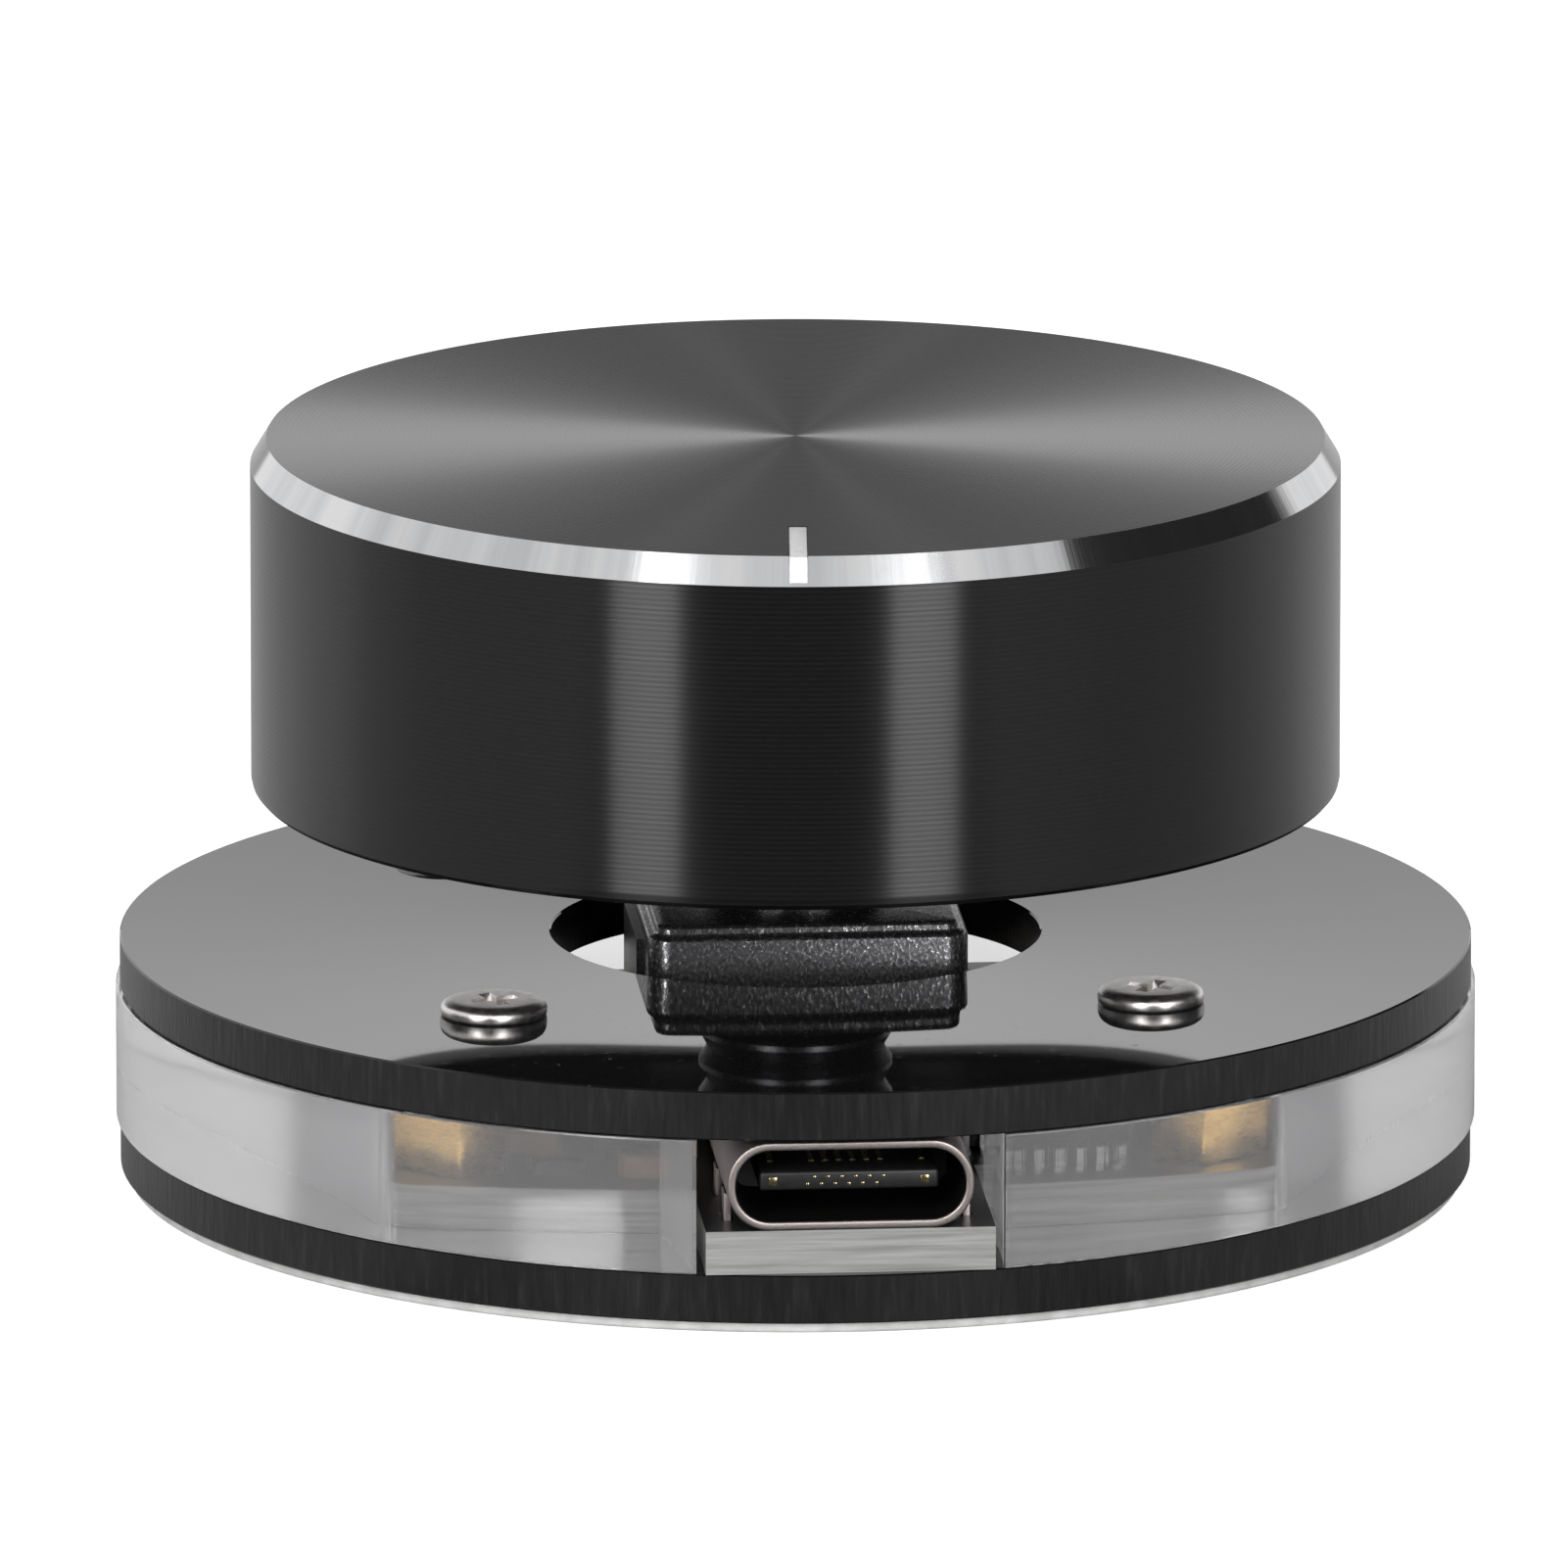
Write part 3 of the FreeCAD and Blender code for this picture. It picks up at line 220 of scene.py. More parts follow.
def black_anodised_aluminium():
    """Turned aluminium, anodised black: a dark glossy film over fine lathe lines.

    The lines run round the axis, so the gloss spreads across them and draws two
    bright fans on the top. They are 0.19 mm apart, and the top is faced a little
    coarser than the side.
    """
    look = bpy.context.scene.knob_colours
    tree, shader, place = new_finish(
        "black_anodised_aluminium", IOR=1.62, Anisotropic=1.0, Anisotropic_Rotation=0.25)
    distance, _, height = round_place(tree, place)
    across = maths(tree, "SUBTRACT", distance, height)
    uneven = noise(tree, across, 1 / (0.3 * MM), 1.0, line=True)
    even = maths(tree, "SINE", maths(tree, "MULTIPLY", across, 2 * math.pi / (0.19 * MM)))
    lines = maths(tree, "MULTIPLY_ADD", maths(tree, "MULTIPLY", even, uneven), 0.8, 0.5)
    faced = ranged(tree, facing(tree, place, "Z"), (0.3, 0.8), (0.22, 0.265))
    tangent = add_node(tree, "ShaderNodeTangent", {"direction_type": "RADIAL", "axis": "Z"})
    feed(tree, shader, Base_Color=ramp(tree, lines, [(0.1, "#050506"), (0.9, look.film)]),
         Roughness=maths(tree, "MULTIPLY_ADD", lines, 0.02, faced), Tangent=tangent.outputs["Tangent"])
    bump(tree, shader, lines, 0.0026 * MM, 0.6)


def cut_aluminium():
    """Bare aluminium from a diamond cutter: mirror bright with a trace of the cut."""
    tree, shader, place = new_finish("diamond_cut_aluminium", Metallic=1.0, Roughness=0.11)
    _, angle, _ = round_place(tree, place)
    around = noise(tree, angle, 7.0, 5.0, 0.6, line=True)
    feed(tree, shader, Base_Color=ramp(tree, around, [(0.35, "#c2c3c5"), (0.65, "#d8d8d9")]))
    bump(tree, shader, around, 0.02 * MM, 0.5)


def black_cast_acrylic():
    """Cast acrylic sheet, laser cut: mirror faces with a little lint, upright marks on the rim.

    The screws pull the sheet into a shallow dish with nearly straight sides, so it
    mirrors the cap further down than a flat sheet would.
    """
    look = bpy.context.scene.knob_colours
    tree, shader, place = new_finish("black_cast_acrylic", IOR=1.49)
    here = place.outputs["Object"]
    distance, angle, height = round_place(tree, place)
    rim = on_rim(tree, place)
    marks = laser_marks(tree, angle, height, 120.0, 3.2, 4.0, 0.65)
    cut_edge = ramp(tree, marks, [(0.3, "#101011"), (0.55, "#19191a"), (0.75, "#29292a")])
    lint = noise(tree, here, 1 / (0.35 * MM), 2.0, 0.4)
    face = ramp(tree, lint, [(0.74, look.acrylic), (0.78, "#4a4a4a")])
    dust = ranged(tree, noise(tree, here, 1 / (0.5 * MM), 5.0, 0.7), (0.62, 0.8), (0.02, 0.22))
    feed(tree, shader, Base_Color=mixed(tree, rim, face, cut_edge, "RGBA"),
         Roughness=mixed(tree, rim, dust, 0.3))
    dish = maths(tree, "MULTIPLY", distance, math.tan(look.dish))
    relief = maths(tree, "MULTIPLY", marks, 0.03 * MM)
    bump(tree, shader, mixed(tree, rim, dish, relief), 1.0)


def clear_cast_acrylic():
    """Clear cast acrylic, laser cut: clear inside, with a faint veil and waves on the cut rim.

    The opening's sides are hazy from the cut.
    """
    look = bpy.context.scene.knob_colours
    tree, shader, place = new_finish("clear_cast_acrylic", IOR=1.49, Base_Color=linear(look.clear))
    distance, angle, height = round_place(tree, place)
    inner = maths(tree, "LESS_THAN", distance, 24.0 * MM)
    outer = maths(tree, "GREATER_THAN", distance, 24.9 * MM)
    side = maths(tree, "MULTIPLY", maths(tree, "ABSOLUTE", facing(tree, place, "X")), inner)
    clear = ranged(tree, side, (0.0, 1.0), (0.96, 0.4))
    veil = maths(tree, "MULTIPLY", outer, 0.06)
    feed(tree, shader, Transmission_Weight=maths(tree, "SUBTRACT", clear, veil),
         Roughness=ranged(tree, upright(tree, place), (0.0, 1.0), (0.09, 0.02)))
    marks = laser_marks(tree, angle, height, 60.0, 2.6, 3.0, 0.6)
    bump(tree, shader, maths(tree, "MULTIPLY", marks, outer), 0.02 * MM, 0.5)


def plain_metal(name, dark, light, roughness, grain, stretch=(1.0, 1.0, 1.0)):
    """A metal with a grain of a real size in millimetres, stretched along an axis."""
    tree, shader, place = new_finish(name, Metallic=1.0)
    spots = noise(tree, scaled(tree, place, stretch), 1 / (grain * MM), 4.0, 0.6)
    feed(tree, shader, Base_Color=ramp(tree, spots, [(0.3, dark), (0.7, light)]),
         Roughness=ranged(tree, spots, (0.3, 0.7), (roughness * 0.7, roughness * 1.4)))
    bump(tree, shader, spots, 0.003 * MM, 0.4)


def dull_finish(name, dark, light, roughness, grain, ior=1.5, detail=(5.0, 0.65), relief=(0.01, 0.5)):
    """A moulded, fired or painted dull material, with a skin of a real grain size in millimetres.

    The relief is its depth in millimetres and its strength.
    """
    tree, shader, place = new_finish(name, Roughness=roughness, IOR=ior)
    spots = noise(tree, place.outputs["Object"], 1 / (grain * MM), *detail)
    feed(tree, shader, Base_Color=ramp(tree, spots, [(0.3, dark), (0.7, light)]))
    bump(tree, shader, spots, relief[0] * MM, relief[1])


def nickel_plate():
    """Nickel plated steel: bright and slightly yellow, worn by the driver.

    The heads sit on the clamped sheet and lean to the middle, twice as far as the sheet.
    """
    look = bpy.context.scene.knob_colours
    tree, shader, place = new_finish("nickel_plate", Metallic=1.0)
    distance, _, _ = round_place(tree, place)
    worn = noise(tree, place.outputs["Object"], 1 / (0.3 * MM), 3.0, 0.6)
    feed(tree, shader, Base_Color=ramp(tree, worn, [(0.3, "#d6d2cf"), (0.7, "#ece8e5")]),
         Roughness=ranged(tree, worn, (0.3, 0.7), (0.28, 0.4)))
    lean = maths(tree, "MULTIPLY", distance, math.tan(look.dish * 2.0))
    bump(tree, shader, maths(tree, "MULTIPLY_ADD", worn, 0.003 * MM, lean), 1.0)


def glass_laminate():
    """Glass fibre laminate: black solder mask on the faces, pale fibres on the cut edge."""
    look = bpy.context.scene.knob_colours
    tree, shader, place = new_finish("glass_laminate", IOR=1.5)
    rim = on_rim(tree, place)
    fibres = noise(tree, scaled(tree, place, (180.0, 180.0, 5200.0)), 1.0, 4.0, 0.6)
    edge = ramp(tree, fibres, [(0.32, "#7c7c7a"), (0.5, look.laminate), (0.72, "#a2a29f")])
    skin = noise(tree, place.outputs["Object"], 1 / (1.5 * MM), 4.0)
    mask = ramp(tree, skin, [(0.3, "#1b1b1d"), (0.7, "#2a2a2c")])
    feed(tree, shader, Base_Color=mixed(tree, rim, mask, edge, "RGBA"),
         Roughness=mixed(tree, rim, 0.3, 0.7))
    bump(tree, shader, fibres, 0.006 * MM, 0.3)


def cast_zinc():
    """Die cast zinc, blackened: dull, with a grainy mould skin and painted glints on its brightest grains.
    """
    tree, shader, place = new_finish("cast_zinc", Metallic=0.8)
    where = scaled(tree, place, (1.2, 1.2, 0.9), (0.0, math.radians(35.0), 0.0))
    grain = noise(tree, where, 1 / (0.15 * MM), 4.0, 0.6)
    # The two lightest stops, up to white, paint glints: the bright grains stand in for tiny facets
    # catching the lamps, over the skin's own dark grain
    grain_with_painted_glints = ramp(tree, grain, [(0.38, "#4a4a4c"), (0.56, "#707072"), (0.63, "#a0a0a2"), (0.7, "#ffffff")])
    feed(tree, shader, Base_Color=grain_with_painted_glints, Roughness=ranged(tree, grain, (0.5, 0.65), (0.3, 0.2)))
    bump(tree, shader, grain, 0.013 * MM)


# Modelling

def clear_choice():
    """Nothing is selected."""
    if bpy.context.object and bpy.context.object.mode != "OBJECT":
        bpy.ops.object.mode_set(mode="OBJECT")
    bpy.ops.object.select_all(action="DESELECT")


def choose(*pieces):
    """Only these pieces are selected and the first is active."""
    clear_choice()
    for piece in pieces:
        piece.select_set(True)
    bpy.context.view_layer.objects.active = pieces[0]


def fix_place(piece):
    """The piece's place goes into its mesh."""
    choose(piece)
    bpy.ops.object.transform_apply(location=True, rotation=True, scale=True)


def moved(piece, place):
    """The piece, moved to a place."""
    piece.location = place
    fix_place(piece)
    return piece


def add_to(first, piece):
    """The piece joins the first one, or is the first."""
    if first is None:
        return piece
    choose(first, piece)
    bpy.ops.object.join()
    return first


def close_up(piece):
    """Doubles are merged and the faces point outwards."""
    choose(piece)
    bpy.ops.object.mode_set(mode="EDIT")
    bpy.ops.mesh.select_all(action="SELECT")
    bpy.ops.mesh.remove_doubles(threshold=0.002 * MM)
    bpy.ops.mesh.normals_make_consistent(inside=False)
    bpy.ops.object.mode_set(mode="OBJECT")


def turned(name, path, filled=True, sides=SIDES):
    """A form turned on the upright axis: a circle drawn along a path of radius and height."""
    clear_choice()
    radius, height = path[0]
    bpy.ops.mesh.primitive_circle_add(
        vertices=sides, radius=radius, location=(0, 0, height),
        fill_type="NGON" if filled else "NOTHING")
    piece = bpy.context.object
    piece.name = name
    fix_place(piece)
    bpy.ops.object.mode_set(mode="EDIT")
    bpy.ops.mesh.select_all(action="SELECT")
    for next_radius, next_height in path[1:]:
        bpy.ops.mesh.extrude_region_move(
            TRANSFORM_OT_translate={"value": (0, 0, next_height - height)})
        if next_radius != radius:
            share = next_radius / radius
            bpy.ops.transform.resize(value=(share, share, 1), center_override=(0, 0, next_height))
        radius, height = next_radius, next_height
    bpy.ops.object.mode_set(mode="OBJECT")
    close_up(piece)
    return piece


def rounded_block(name, width, depth, corner, levels, middle=(0.0, 0.0), segments=8):
    """An upright block with round corners: a plane drawn up through levels of height and inset."""
    clear_choice()
    height = levels[0][0]
    bpy.ops.mesh.primitive_plane_add(size=1, location=(middle[0], middle[1], height))
    piece = bpy.context.object
    piece.name = name
    piece.scale = (width, depth, 1)
    fix_place(piece)
    bpy.ops.object.mode_set(mode="EDIT")
    bpy.ops.mesh.select_all(action="SELECT")
    if corner:
        bpy.ops.mesh.bevel(affect="VERTICES", offset=corner, segments=segments)
    for next_height, inset in levels[1:]:
        if inset:
            bpy.ops.mesh.inset(thickness=inset, depth=0)
        bpy.ops.mesh.extrude_region_move(
            TRANSFORM_OT_translate={"value": (0, 0, next_height - height)})
        height = next_height
    bpy.ops.object.mode_set(mode="OBJECT")
    close_up(piece)
    return piece


def block(name, low, high):
    """A cube stretched between two corners."""
    clear_choice()
    middle = [(a + b) / 2 for a, b in zip(low, high)]
    bpy.ops.mesh.primitive_cube_add(size=1, location=middle)
    piece = bpy.context.object
    piece.name = name
    piece.scale = [b - a for a, b in zip(low, high)]
    fix_place(piece)
    return piece


def pick_faces(piece, test):
    """The faces whose middle and normal pass the test are selected."""
    mesh = piece.data
    for edge in mesh.edges:
        edge.select = False
    for vertex in mesh.vertices:
        vertex.select = False
    for face in mesh.polygons:
        face.select = bool(test(face.center, face.normal))


def use_modifier(piece, kind, **settings):
    """A modifier that is set and applied."""
    choose(piece)
    modifier = piece.modifiers.new(kind.title(), kind)
    for name, value in settings.items():
        setattr(modifier, name, value)
    bpy.ops.object.modifier_apply(modifier=modifier.name)


def cut(piece, cutter):
    """The cutter's shape is taken out of the piece."""
    use_modifier(piece, "BOOLEAN", operation="DIFFERENCE", solver="EXACT", object=cutter)
    bpy.data.objects.remove(cutter)


def soften(piece, width, segments=2, angle=30):
    """Sharp edges get a small round."""
    use_modifier(piece, "BEVEL", width=width, segments=segments, limit_method="ANGLE",
                 angle_limit=math.radians(angle), harden_normals=False)


def hand_over(piece, body, finishes, replaces=(), smooth=35):
    """The piece gets its finishes, shading and body, and the parts it replaces are hidden."""
    piece.data.name = piece.name
    piece.data.materials.clear()
    for finish in finishes:
        piece.data.materials.append(finish)
    choose(piece)
    bpy.ops.object.shade_smooth_by_angle(angle=math.radians(smooth))
    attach(piece, body)
    if replaces:
        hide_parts(*replaces)


def finish_named(name):
    """A finish that the finishes operator has made."""
    return bpy.data.materials[name]


# Sizes and colours that a user would change

class KnobCapSizes(bpy.types.PropertyGroup):
    """Sizes of the turned cap."""

    bevel_width: bpy.props.FloatProperty(
        name="Bevel width", description="How far the cut bevel reaches in from the side",
        default=0.6 * MM, unit="LENGTH")
    bevel_drop: bpy.props.FloatProperty(
        name="Bevel drop", description="How far the cut bevel reaches down from the top",
        default=1.0 * MM, unit="LENGTH")
    wall: bpy.props.FloatProperty(
        name="Wall", description="Thickness of the cap's side", default=1.5 * MM, unit="LENGTH")
    top_thick: bpy.props.FloatProperty(
        name="Top", description="Thickness of the cap's top", default=1.4 * MM, unit="LENGTH")
    pointer_width: bpy.props.FloatProperty(
        name="Pointer width", description="Width of the painted groove",
        default=0.66 * MM, unit="LENGTH")
    pointer_length: bpy.props.FloatProperty(
        name="Pointer length", description="Length of the groove on the flat top",
        default=4.8 * MM, unit="LENGTH")
    pointer_turn: bpy.props.FloatProperty(
        name="Pointer turn", description="Turn of the groove from the front",
        default=math.radians(-4.4), subtype="ANGLE")


class KnobBaseSizes(bpy.types.PropertyGroup):
    """Sizes of the base and its inlet."""

    edge: bpy.props.FloatProperty(
        name="Sheet edge", description="Small break of the cut sheets' edges",
        default=0.06 * MM, unit="LENGTH")
    air_gap: bpy.props.FloatProperty(
        name="Air gap", description="Thin film of air between the clear and the black sheets",
        default=0.015 * MM, unit="LENGTH")
    hole: bpy.props.FloatProperty(
        name="Top hole", description="Radius of the hole round the encoder",
        default=9.0 * MM, unit="LENGTH")
    screw_spread: bpy.props.FloatProperty(
        name="Screw spread", description="Distance of the screws from the middle on each axis",
        default=12.0 * MM, unit="LENGTH")
    cavity_half: bpy.props.FloatProperty(
        name="Cavity", description="Half width of the square opening in the clear ring",
        default=15.5 * MM, unit="LENGTH")
    slot_half: bpy.props.FloatProperty(
        name="Slot", description="Half width of the slot for the inlet",
        default=5.6 * MM, unit="LENGTH")
    bushing_length: bpy.props.FloatProperty(
        name="Bushing", description="Length of the threaded bushing on the encoder",
        default=5.0 * MM, unit="LENGTH")
    rim_drop: bpy.props.FloatProperty(
        name="Rim drop", description="Height of the encoder's stepped top",
        default=0.4 * MM, unit="LENGTH")


class KnobColours(bpy.types.PropertyGroup):
    """Main colours as sRGB hex codes."""

    film: bpy.props.StringProperty(
        name="Cap film", description="Anodised film of the cap", default="#0e0e10")
    acrylic: bpy.props.StringProperty(
        name="Black sheet", description="Face of the black acrylic", default="#161617")
    clear: bpy.props.StringProperty(
        name="Clear sheet", description="Tint of the clear acrylic", default="#f5f4f5")
    pad: bpy.props.StringProperty(
        name="Pad", description="Anti-slip sheet", default="#d2d2d1")
    dish: bpy.props.FloatProperty(
        name="Dish", description="Slope of the clamped black sheet down to its middle",
        default=math.radians(2.85), subtype="ANGLE")
    laminate: bpy.props.StringProperty(
        name="Board edge", description="Cut edge of the board", default="#90908e")


class KnobStageSettings(bpy.types.PropertyGroup):
    """Camera and light."""

    turn: bpy.props.FloatProperty(
        name="Turn", description="Camera's turn about the knob from the front",
        default=math.radians(-4.7), subtype="ANGLE")
    rise: bpy.props.FloatProperty(
        name="Rise", description="Camera's angle above the horizon",
        default=math.radians(13.56), subtype="ANGLE")
    distance: bpy.props.FloatProperty(
        name="Distance", description="Camera's distance from the knob", default=1.2, unit="LENGTH")
    aim_height: bpy.props.FloatProperty(
        name="Aim height", description="Height that the camera looks at",
        default=14.47 * MM, unit="LENGTH")
    aim_side: bpy.props.FloatProperty(
        name="Aim side", description="How far to the right the camera looks",
        default=-0.42 * MM, unit="LENGTH")
    lens: bpy.props.FloatProperty(
        name="Lens", description="Focal length in millimetres", default=749.9)
    window: bpy.props.FloatProperty(
        name="Window light", description="Brightness of the two tall lights", default=8.9, min=0.0)
    ceiling: bpy.props.FloatProperty(
        name="Ceiling light", description="Brightness of the pale band above", default=0.86, min=0.0)


# Operators

class KNOB_OT_camera(bpy.types.Operator):
    """Places the camera as in the photograph"""

    bl_idname = "knob.camera"
    bl_label = "Camera"

    def execute(self, context):
        stage = context.scene.knob_stage
        ahead = Vector((-math.sin(stage.turn), math.cos(stage.turn), 0))
        right = Vector((math.cos(stage.turn), math.sin(stage.turn), 0))
        look = ahead * math.cos(stage.rise) - Vector((0, 0, math.sin(stage.rise)))
        aim = right * stage.aim_side + Vector((0, 0, stage.aim_height))
        clear_choice()
        bpy.ops.object.camera_add(location=aim - look * stage.distance)
        camera = context.object
        camera.name = "camera"
        camera.rotation_euler = look.to_track_quat("-Z", "Y").to_euler()
        camera.data.sensor_width = 36.0
        camera.data.lens = stage.lens
        camera.data.clip_start = 0.01
        camera.data.clip_end = 20.0
        context.scene.camera = camera
        return {"FINISHED"}


class KNOB_OT_finishes(bpy.types.Operator):
    """Makes the finishes of the real materials"""

    bl_idname = "knob.finishes"
    bl_label = "Finishes"

    def execute(self, context):
        black_anodised_aluminium()
        cut_aluminium()
        # White enamel wiped into the groove: half matt, a little uneven
        dull_finish("engraving_paint", "#dcdcdc", "#f0f0ef", 0.45, 0.3, 1.5, (3.0, 0.5), (0.01, 0.4))
        black_cast_acrylic()
        clear_cast_acrylic()
        # Soft silicone anti-slip sheet: pale, milky and dull
        pad = context.scene.knob_colours.pad
        dull_finish("silicone_sheet", "#b9b9b8", pad, 0.6, 0.8, 1.41, (4.0, 0.5), (0.02, 0.5))
        glass_laminate()
        cast_zinc()
        nickel_plate()
        # Machined brass: warm, with lathe lines round the post
        plain_metal("machined_brass", "#d2a25a", "#f8d58c", 0.3, 0.3, (1.0, 1.0, 4.0))
        # Drawn stainless steel: satin, lines along the draw
        plain_metal("drawn_stainless", "#a39a97", "#c4bbb8", 0.42, 0.2, (4.0, 1.0, 4.0))
        # Inside of the drawn mouth: a darker copy of the drawn steel, painted shade of the deep mouth
        plain_metal("shaded_stainless", "#201f1e", "#2e2c2b", 0.55, 0.2, (4.0, 1.0, 4.0))
        # Blackened zinc after thread cutting: dark and smooth
        plain_metal("cut_zinc", "#4a4a4c", "#6c6c70", 0.3, 0.2, (1.0, 1.0, 4.0))
        # Phosphated strip steel: dark grey and grainy
        plain_metal("phosphated_steel", "#4a4a4b", "#7c7c7e", 0.4, 0.15)
        # Gold flash over nickel: warm and smooth
        plain_metal("gold_flash", "#a8966c", "#d8c79a", 0.2, 0.2)
        # Tinned copper alloy: grey white and soft
        plain_metal("tinned_bronze", "#a5a5a6", "#dcdcdc", 0.32, 0.3)
        # Rolled spring steel: grey with a fine rolled grain
        plain_metal("spring_steel", "#8f8f90", "#c4c4c6", 0.25, 0.3, (1.0, 4.0, 1.0))
        # Turned aluminium shaft: bright with lathe lines
        plain_metal("turned_aluminium", "#b9babd", "#e2e3e5", 0.22, 0.25, (0.4, 0.4, 3.0))
        # Glass filled nylon: black and slightly grainy
        dull_finish("black_nylon", "#0e0e0f", "#1d1d1e", 0.45, 0.25)
        # Liquid crystal polymer: warm white and dull
        dull_finish("ivory_polymer", "#d9d5c9", "#efece2", 0.5, 0.4)
        # Fired capacitor ceramic: tan and finely speckled
        dull_finish("fired_ceramic", "#94775a", "#b3946f", 0.5, 0.2)
        # Lamp case: white polyamide with a pale yellow phosphor tint
        dull_finish("lamp_polyamide", "#e3e0cf", "#f4f2e8", 0.4, 0.6)
        return {"FINISHED"}


class KNOB_OT_cap(bpy.types.Operator):
    """Turns the cap, cuts its bevel and groove and fills the pointer"""

    bl_idname = "knob.cap"
    bl_label = "Cap and pointer"

    def execute(self, context):
        sizes = context.scene.knob_cap
        radius, low, high = drum("knob_shell")
        inner = radius - sizes.wall
        bevel_in = radius - sizes.bevel_width
        bevel_low = high - sizes.bevel_drop
        cap = turned("cap", [
            (inner, high - sizes.top_thick),
            (inner, low + 0.2 * MM),
            (inner + 0.1 * MM, low + 0.03 * MM),
            (inner + 0.2 * MM, low),
            (radius - 0.45 * MM, low),
            (radius - 0.2 * MM, low + 0.07 * MM),
            (radius - 0.05 * MM, low + 0.24 * MM),
            (radius, low + 0.45 * MM),
            (radius, low + 0.55 * MM),
            (radius, bevel_low),
            (bevel_in, high),
        ], sides=256)
        pointer = self.groove(sizes, high, bevel_in, 0.0, 0.03 * MM)
        cut(cap, self.groove(sizes, high, bevel_in, 0.012 * MM, -0.3 * MM))
        soften(pointer, 0.03 * MM)
        hand_over(cap, "knob",
                  [finish_named("black_anodised_aluminium"), finish_named("diamond_cut_aluminium")],
                  ["knob_shell"], smooth=20)
        for face in cap.data.polygons:
            away = math.hypot(face.center.x, face.center.y)
            on_bevel = away > bevel_in - 0.02 * MM and face.center.z > bevel_low - 0.02 * MM
            if on_bevel and 0.3 < face.normal.z < 0.95:
                face.material_index = 1
        hand_over(pointer, "knob", [finish_named("engraving_paint")], ["knob_pointer"])
        return {"FINISHED"}

    def groove(self, sizes, high, bevel_in, grow, sink):
        """The groove's filling, or its cutter when it is grown and raised."""
        half = sizes.pointer_width / 2 + grow
        floor = high - 0.3 * MM - grow
        piece = block("pointer", (-half, -bevel_in, floor),
                      (half, -bevel_in + sizes.pointer_length + grow, high - sink))
        pick_faces(piece, lambda middle, normal: normal.y < -0.9)
        bpy.ops.object.mode_set(mode="EDIT")
        share = 0.85
        bpy.ops.mesh.extrude_region_move(TRANSFORM_OT_translate={"value": (
            0, -sizes.bevel_width * share - grow, -sizes.bevel_drop * (share + grow / sizes.bevel_width))})
        bpy.ops.mesh.select_all(action="SELECT")
        bpy.ops.mesh.normals_make_consistent(inside=False)
        bpy.ops.object.mode_set(mode="OBJECT")
        piece.rotation_euler.z = sizes.pointer_turn
        fix_place(piece)
        return piece


class KNOB_OT_sheets(bpy.types.Operator):
    """Cuts the two black discs, the clear ring and the pad"""

    bl_idname = "knob.sheets"
    bl_label = "Sheets of the base"

    def execute(self, context):
        sizes = context.scene.knob_base
        self.disc(sizes, "top_disc", "top_plate", sizes.hole)
        self.disc(sizes, "bottom_disc", "base_plate", 0.0)
        self.ring(sizes)
        self.pad()
        return {"FINISHED"}

    def disc(self, sizes, name, node, hole):
        """A black disc with its screw holes, and a hole in the middle if it has one."""
        radius, low, high = drum(node)
        edge = sizes.edge
        bore, sink_radius = 1.15 * MM, 2.0 * MM
        rim = [(radius - edge, low), (radius, low + edge), (radius, high - edge), (radius - edge, high)]
        if hole:
            middle = [(hole + edge, high), (hole, high - edge), (hole, low + edge), (hole + edge, low)]
            disc = turned(name, [*rim, *middle, rim[0]], filled=False)
        else:
            disc = turned(name, rim)
        for across, along in CORNERS:
            place = (across * sizes.screw_spread, along * sizes.screw_spread, 0)
            drill = turned("drill", [(bore, low - MM), (bore, high + MM)], sides=48)
            cut(disc, moved(drill, place))
            if not hole:
                sink = turned("sink", [(sink_radius, low - 0.1 * MM), (sink_radius, low),
                                       (1.1 * MM, low + 0.95 * MM)], sides=48)
                cut(disc, moved(sink, place))
        hand_over(disc, "base", [finish_named("black_cast_acrylic")], [node], smooth=20)

    def ring(self, sizes):
        """The clear ring with its square opening and the inlet's slot."""
        radius, low, high = drum("light_ring")
        edge = sizes.edge
        air = sizes.air_gap
        ring = turned("clear_ring", [
            (radius - edge, low + air), (radius, low + air + edge),
            (radius, high - air - edge), (radius - edge, high - air)])
        half = sizes.cavity_half
        cut(ring, rounded_block("opening", 2 * half, 2 * half, 0.6 * MM,
                                [(low - MM, 0), (high + MM, 0)]))
        cut(ring, block("slot", (-sizes.slot_half, -radius - MM, low - MM),
                        (sizes.slot_half, -half + MM, high + MM)))
        hand_over(ring, "base", [finish_named("clear_cast_acrylic")],
                  ["light_ring"], smooth=20)

    def pad(self):
        """The pad with its rounded rim."""
        radius, low, high = drum("foot_pad")
        pad = turned("pad", [
            (radius - 0.12 * MM, low), (radius - 0.03 * MM, low + 0.05 * MM),
            (radius, low + 0.14 * MM), (radius, high)])
        hand_over(pad, "base", [finish_named("silicone_sheet")], ["foot_pad"], smooth=50)


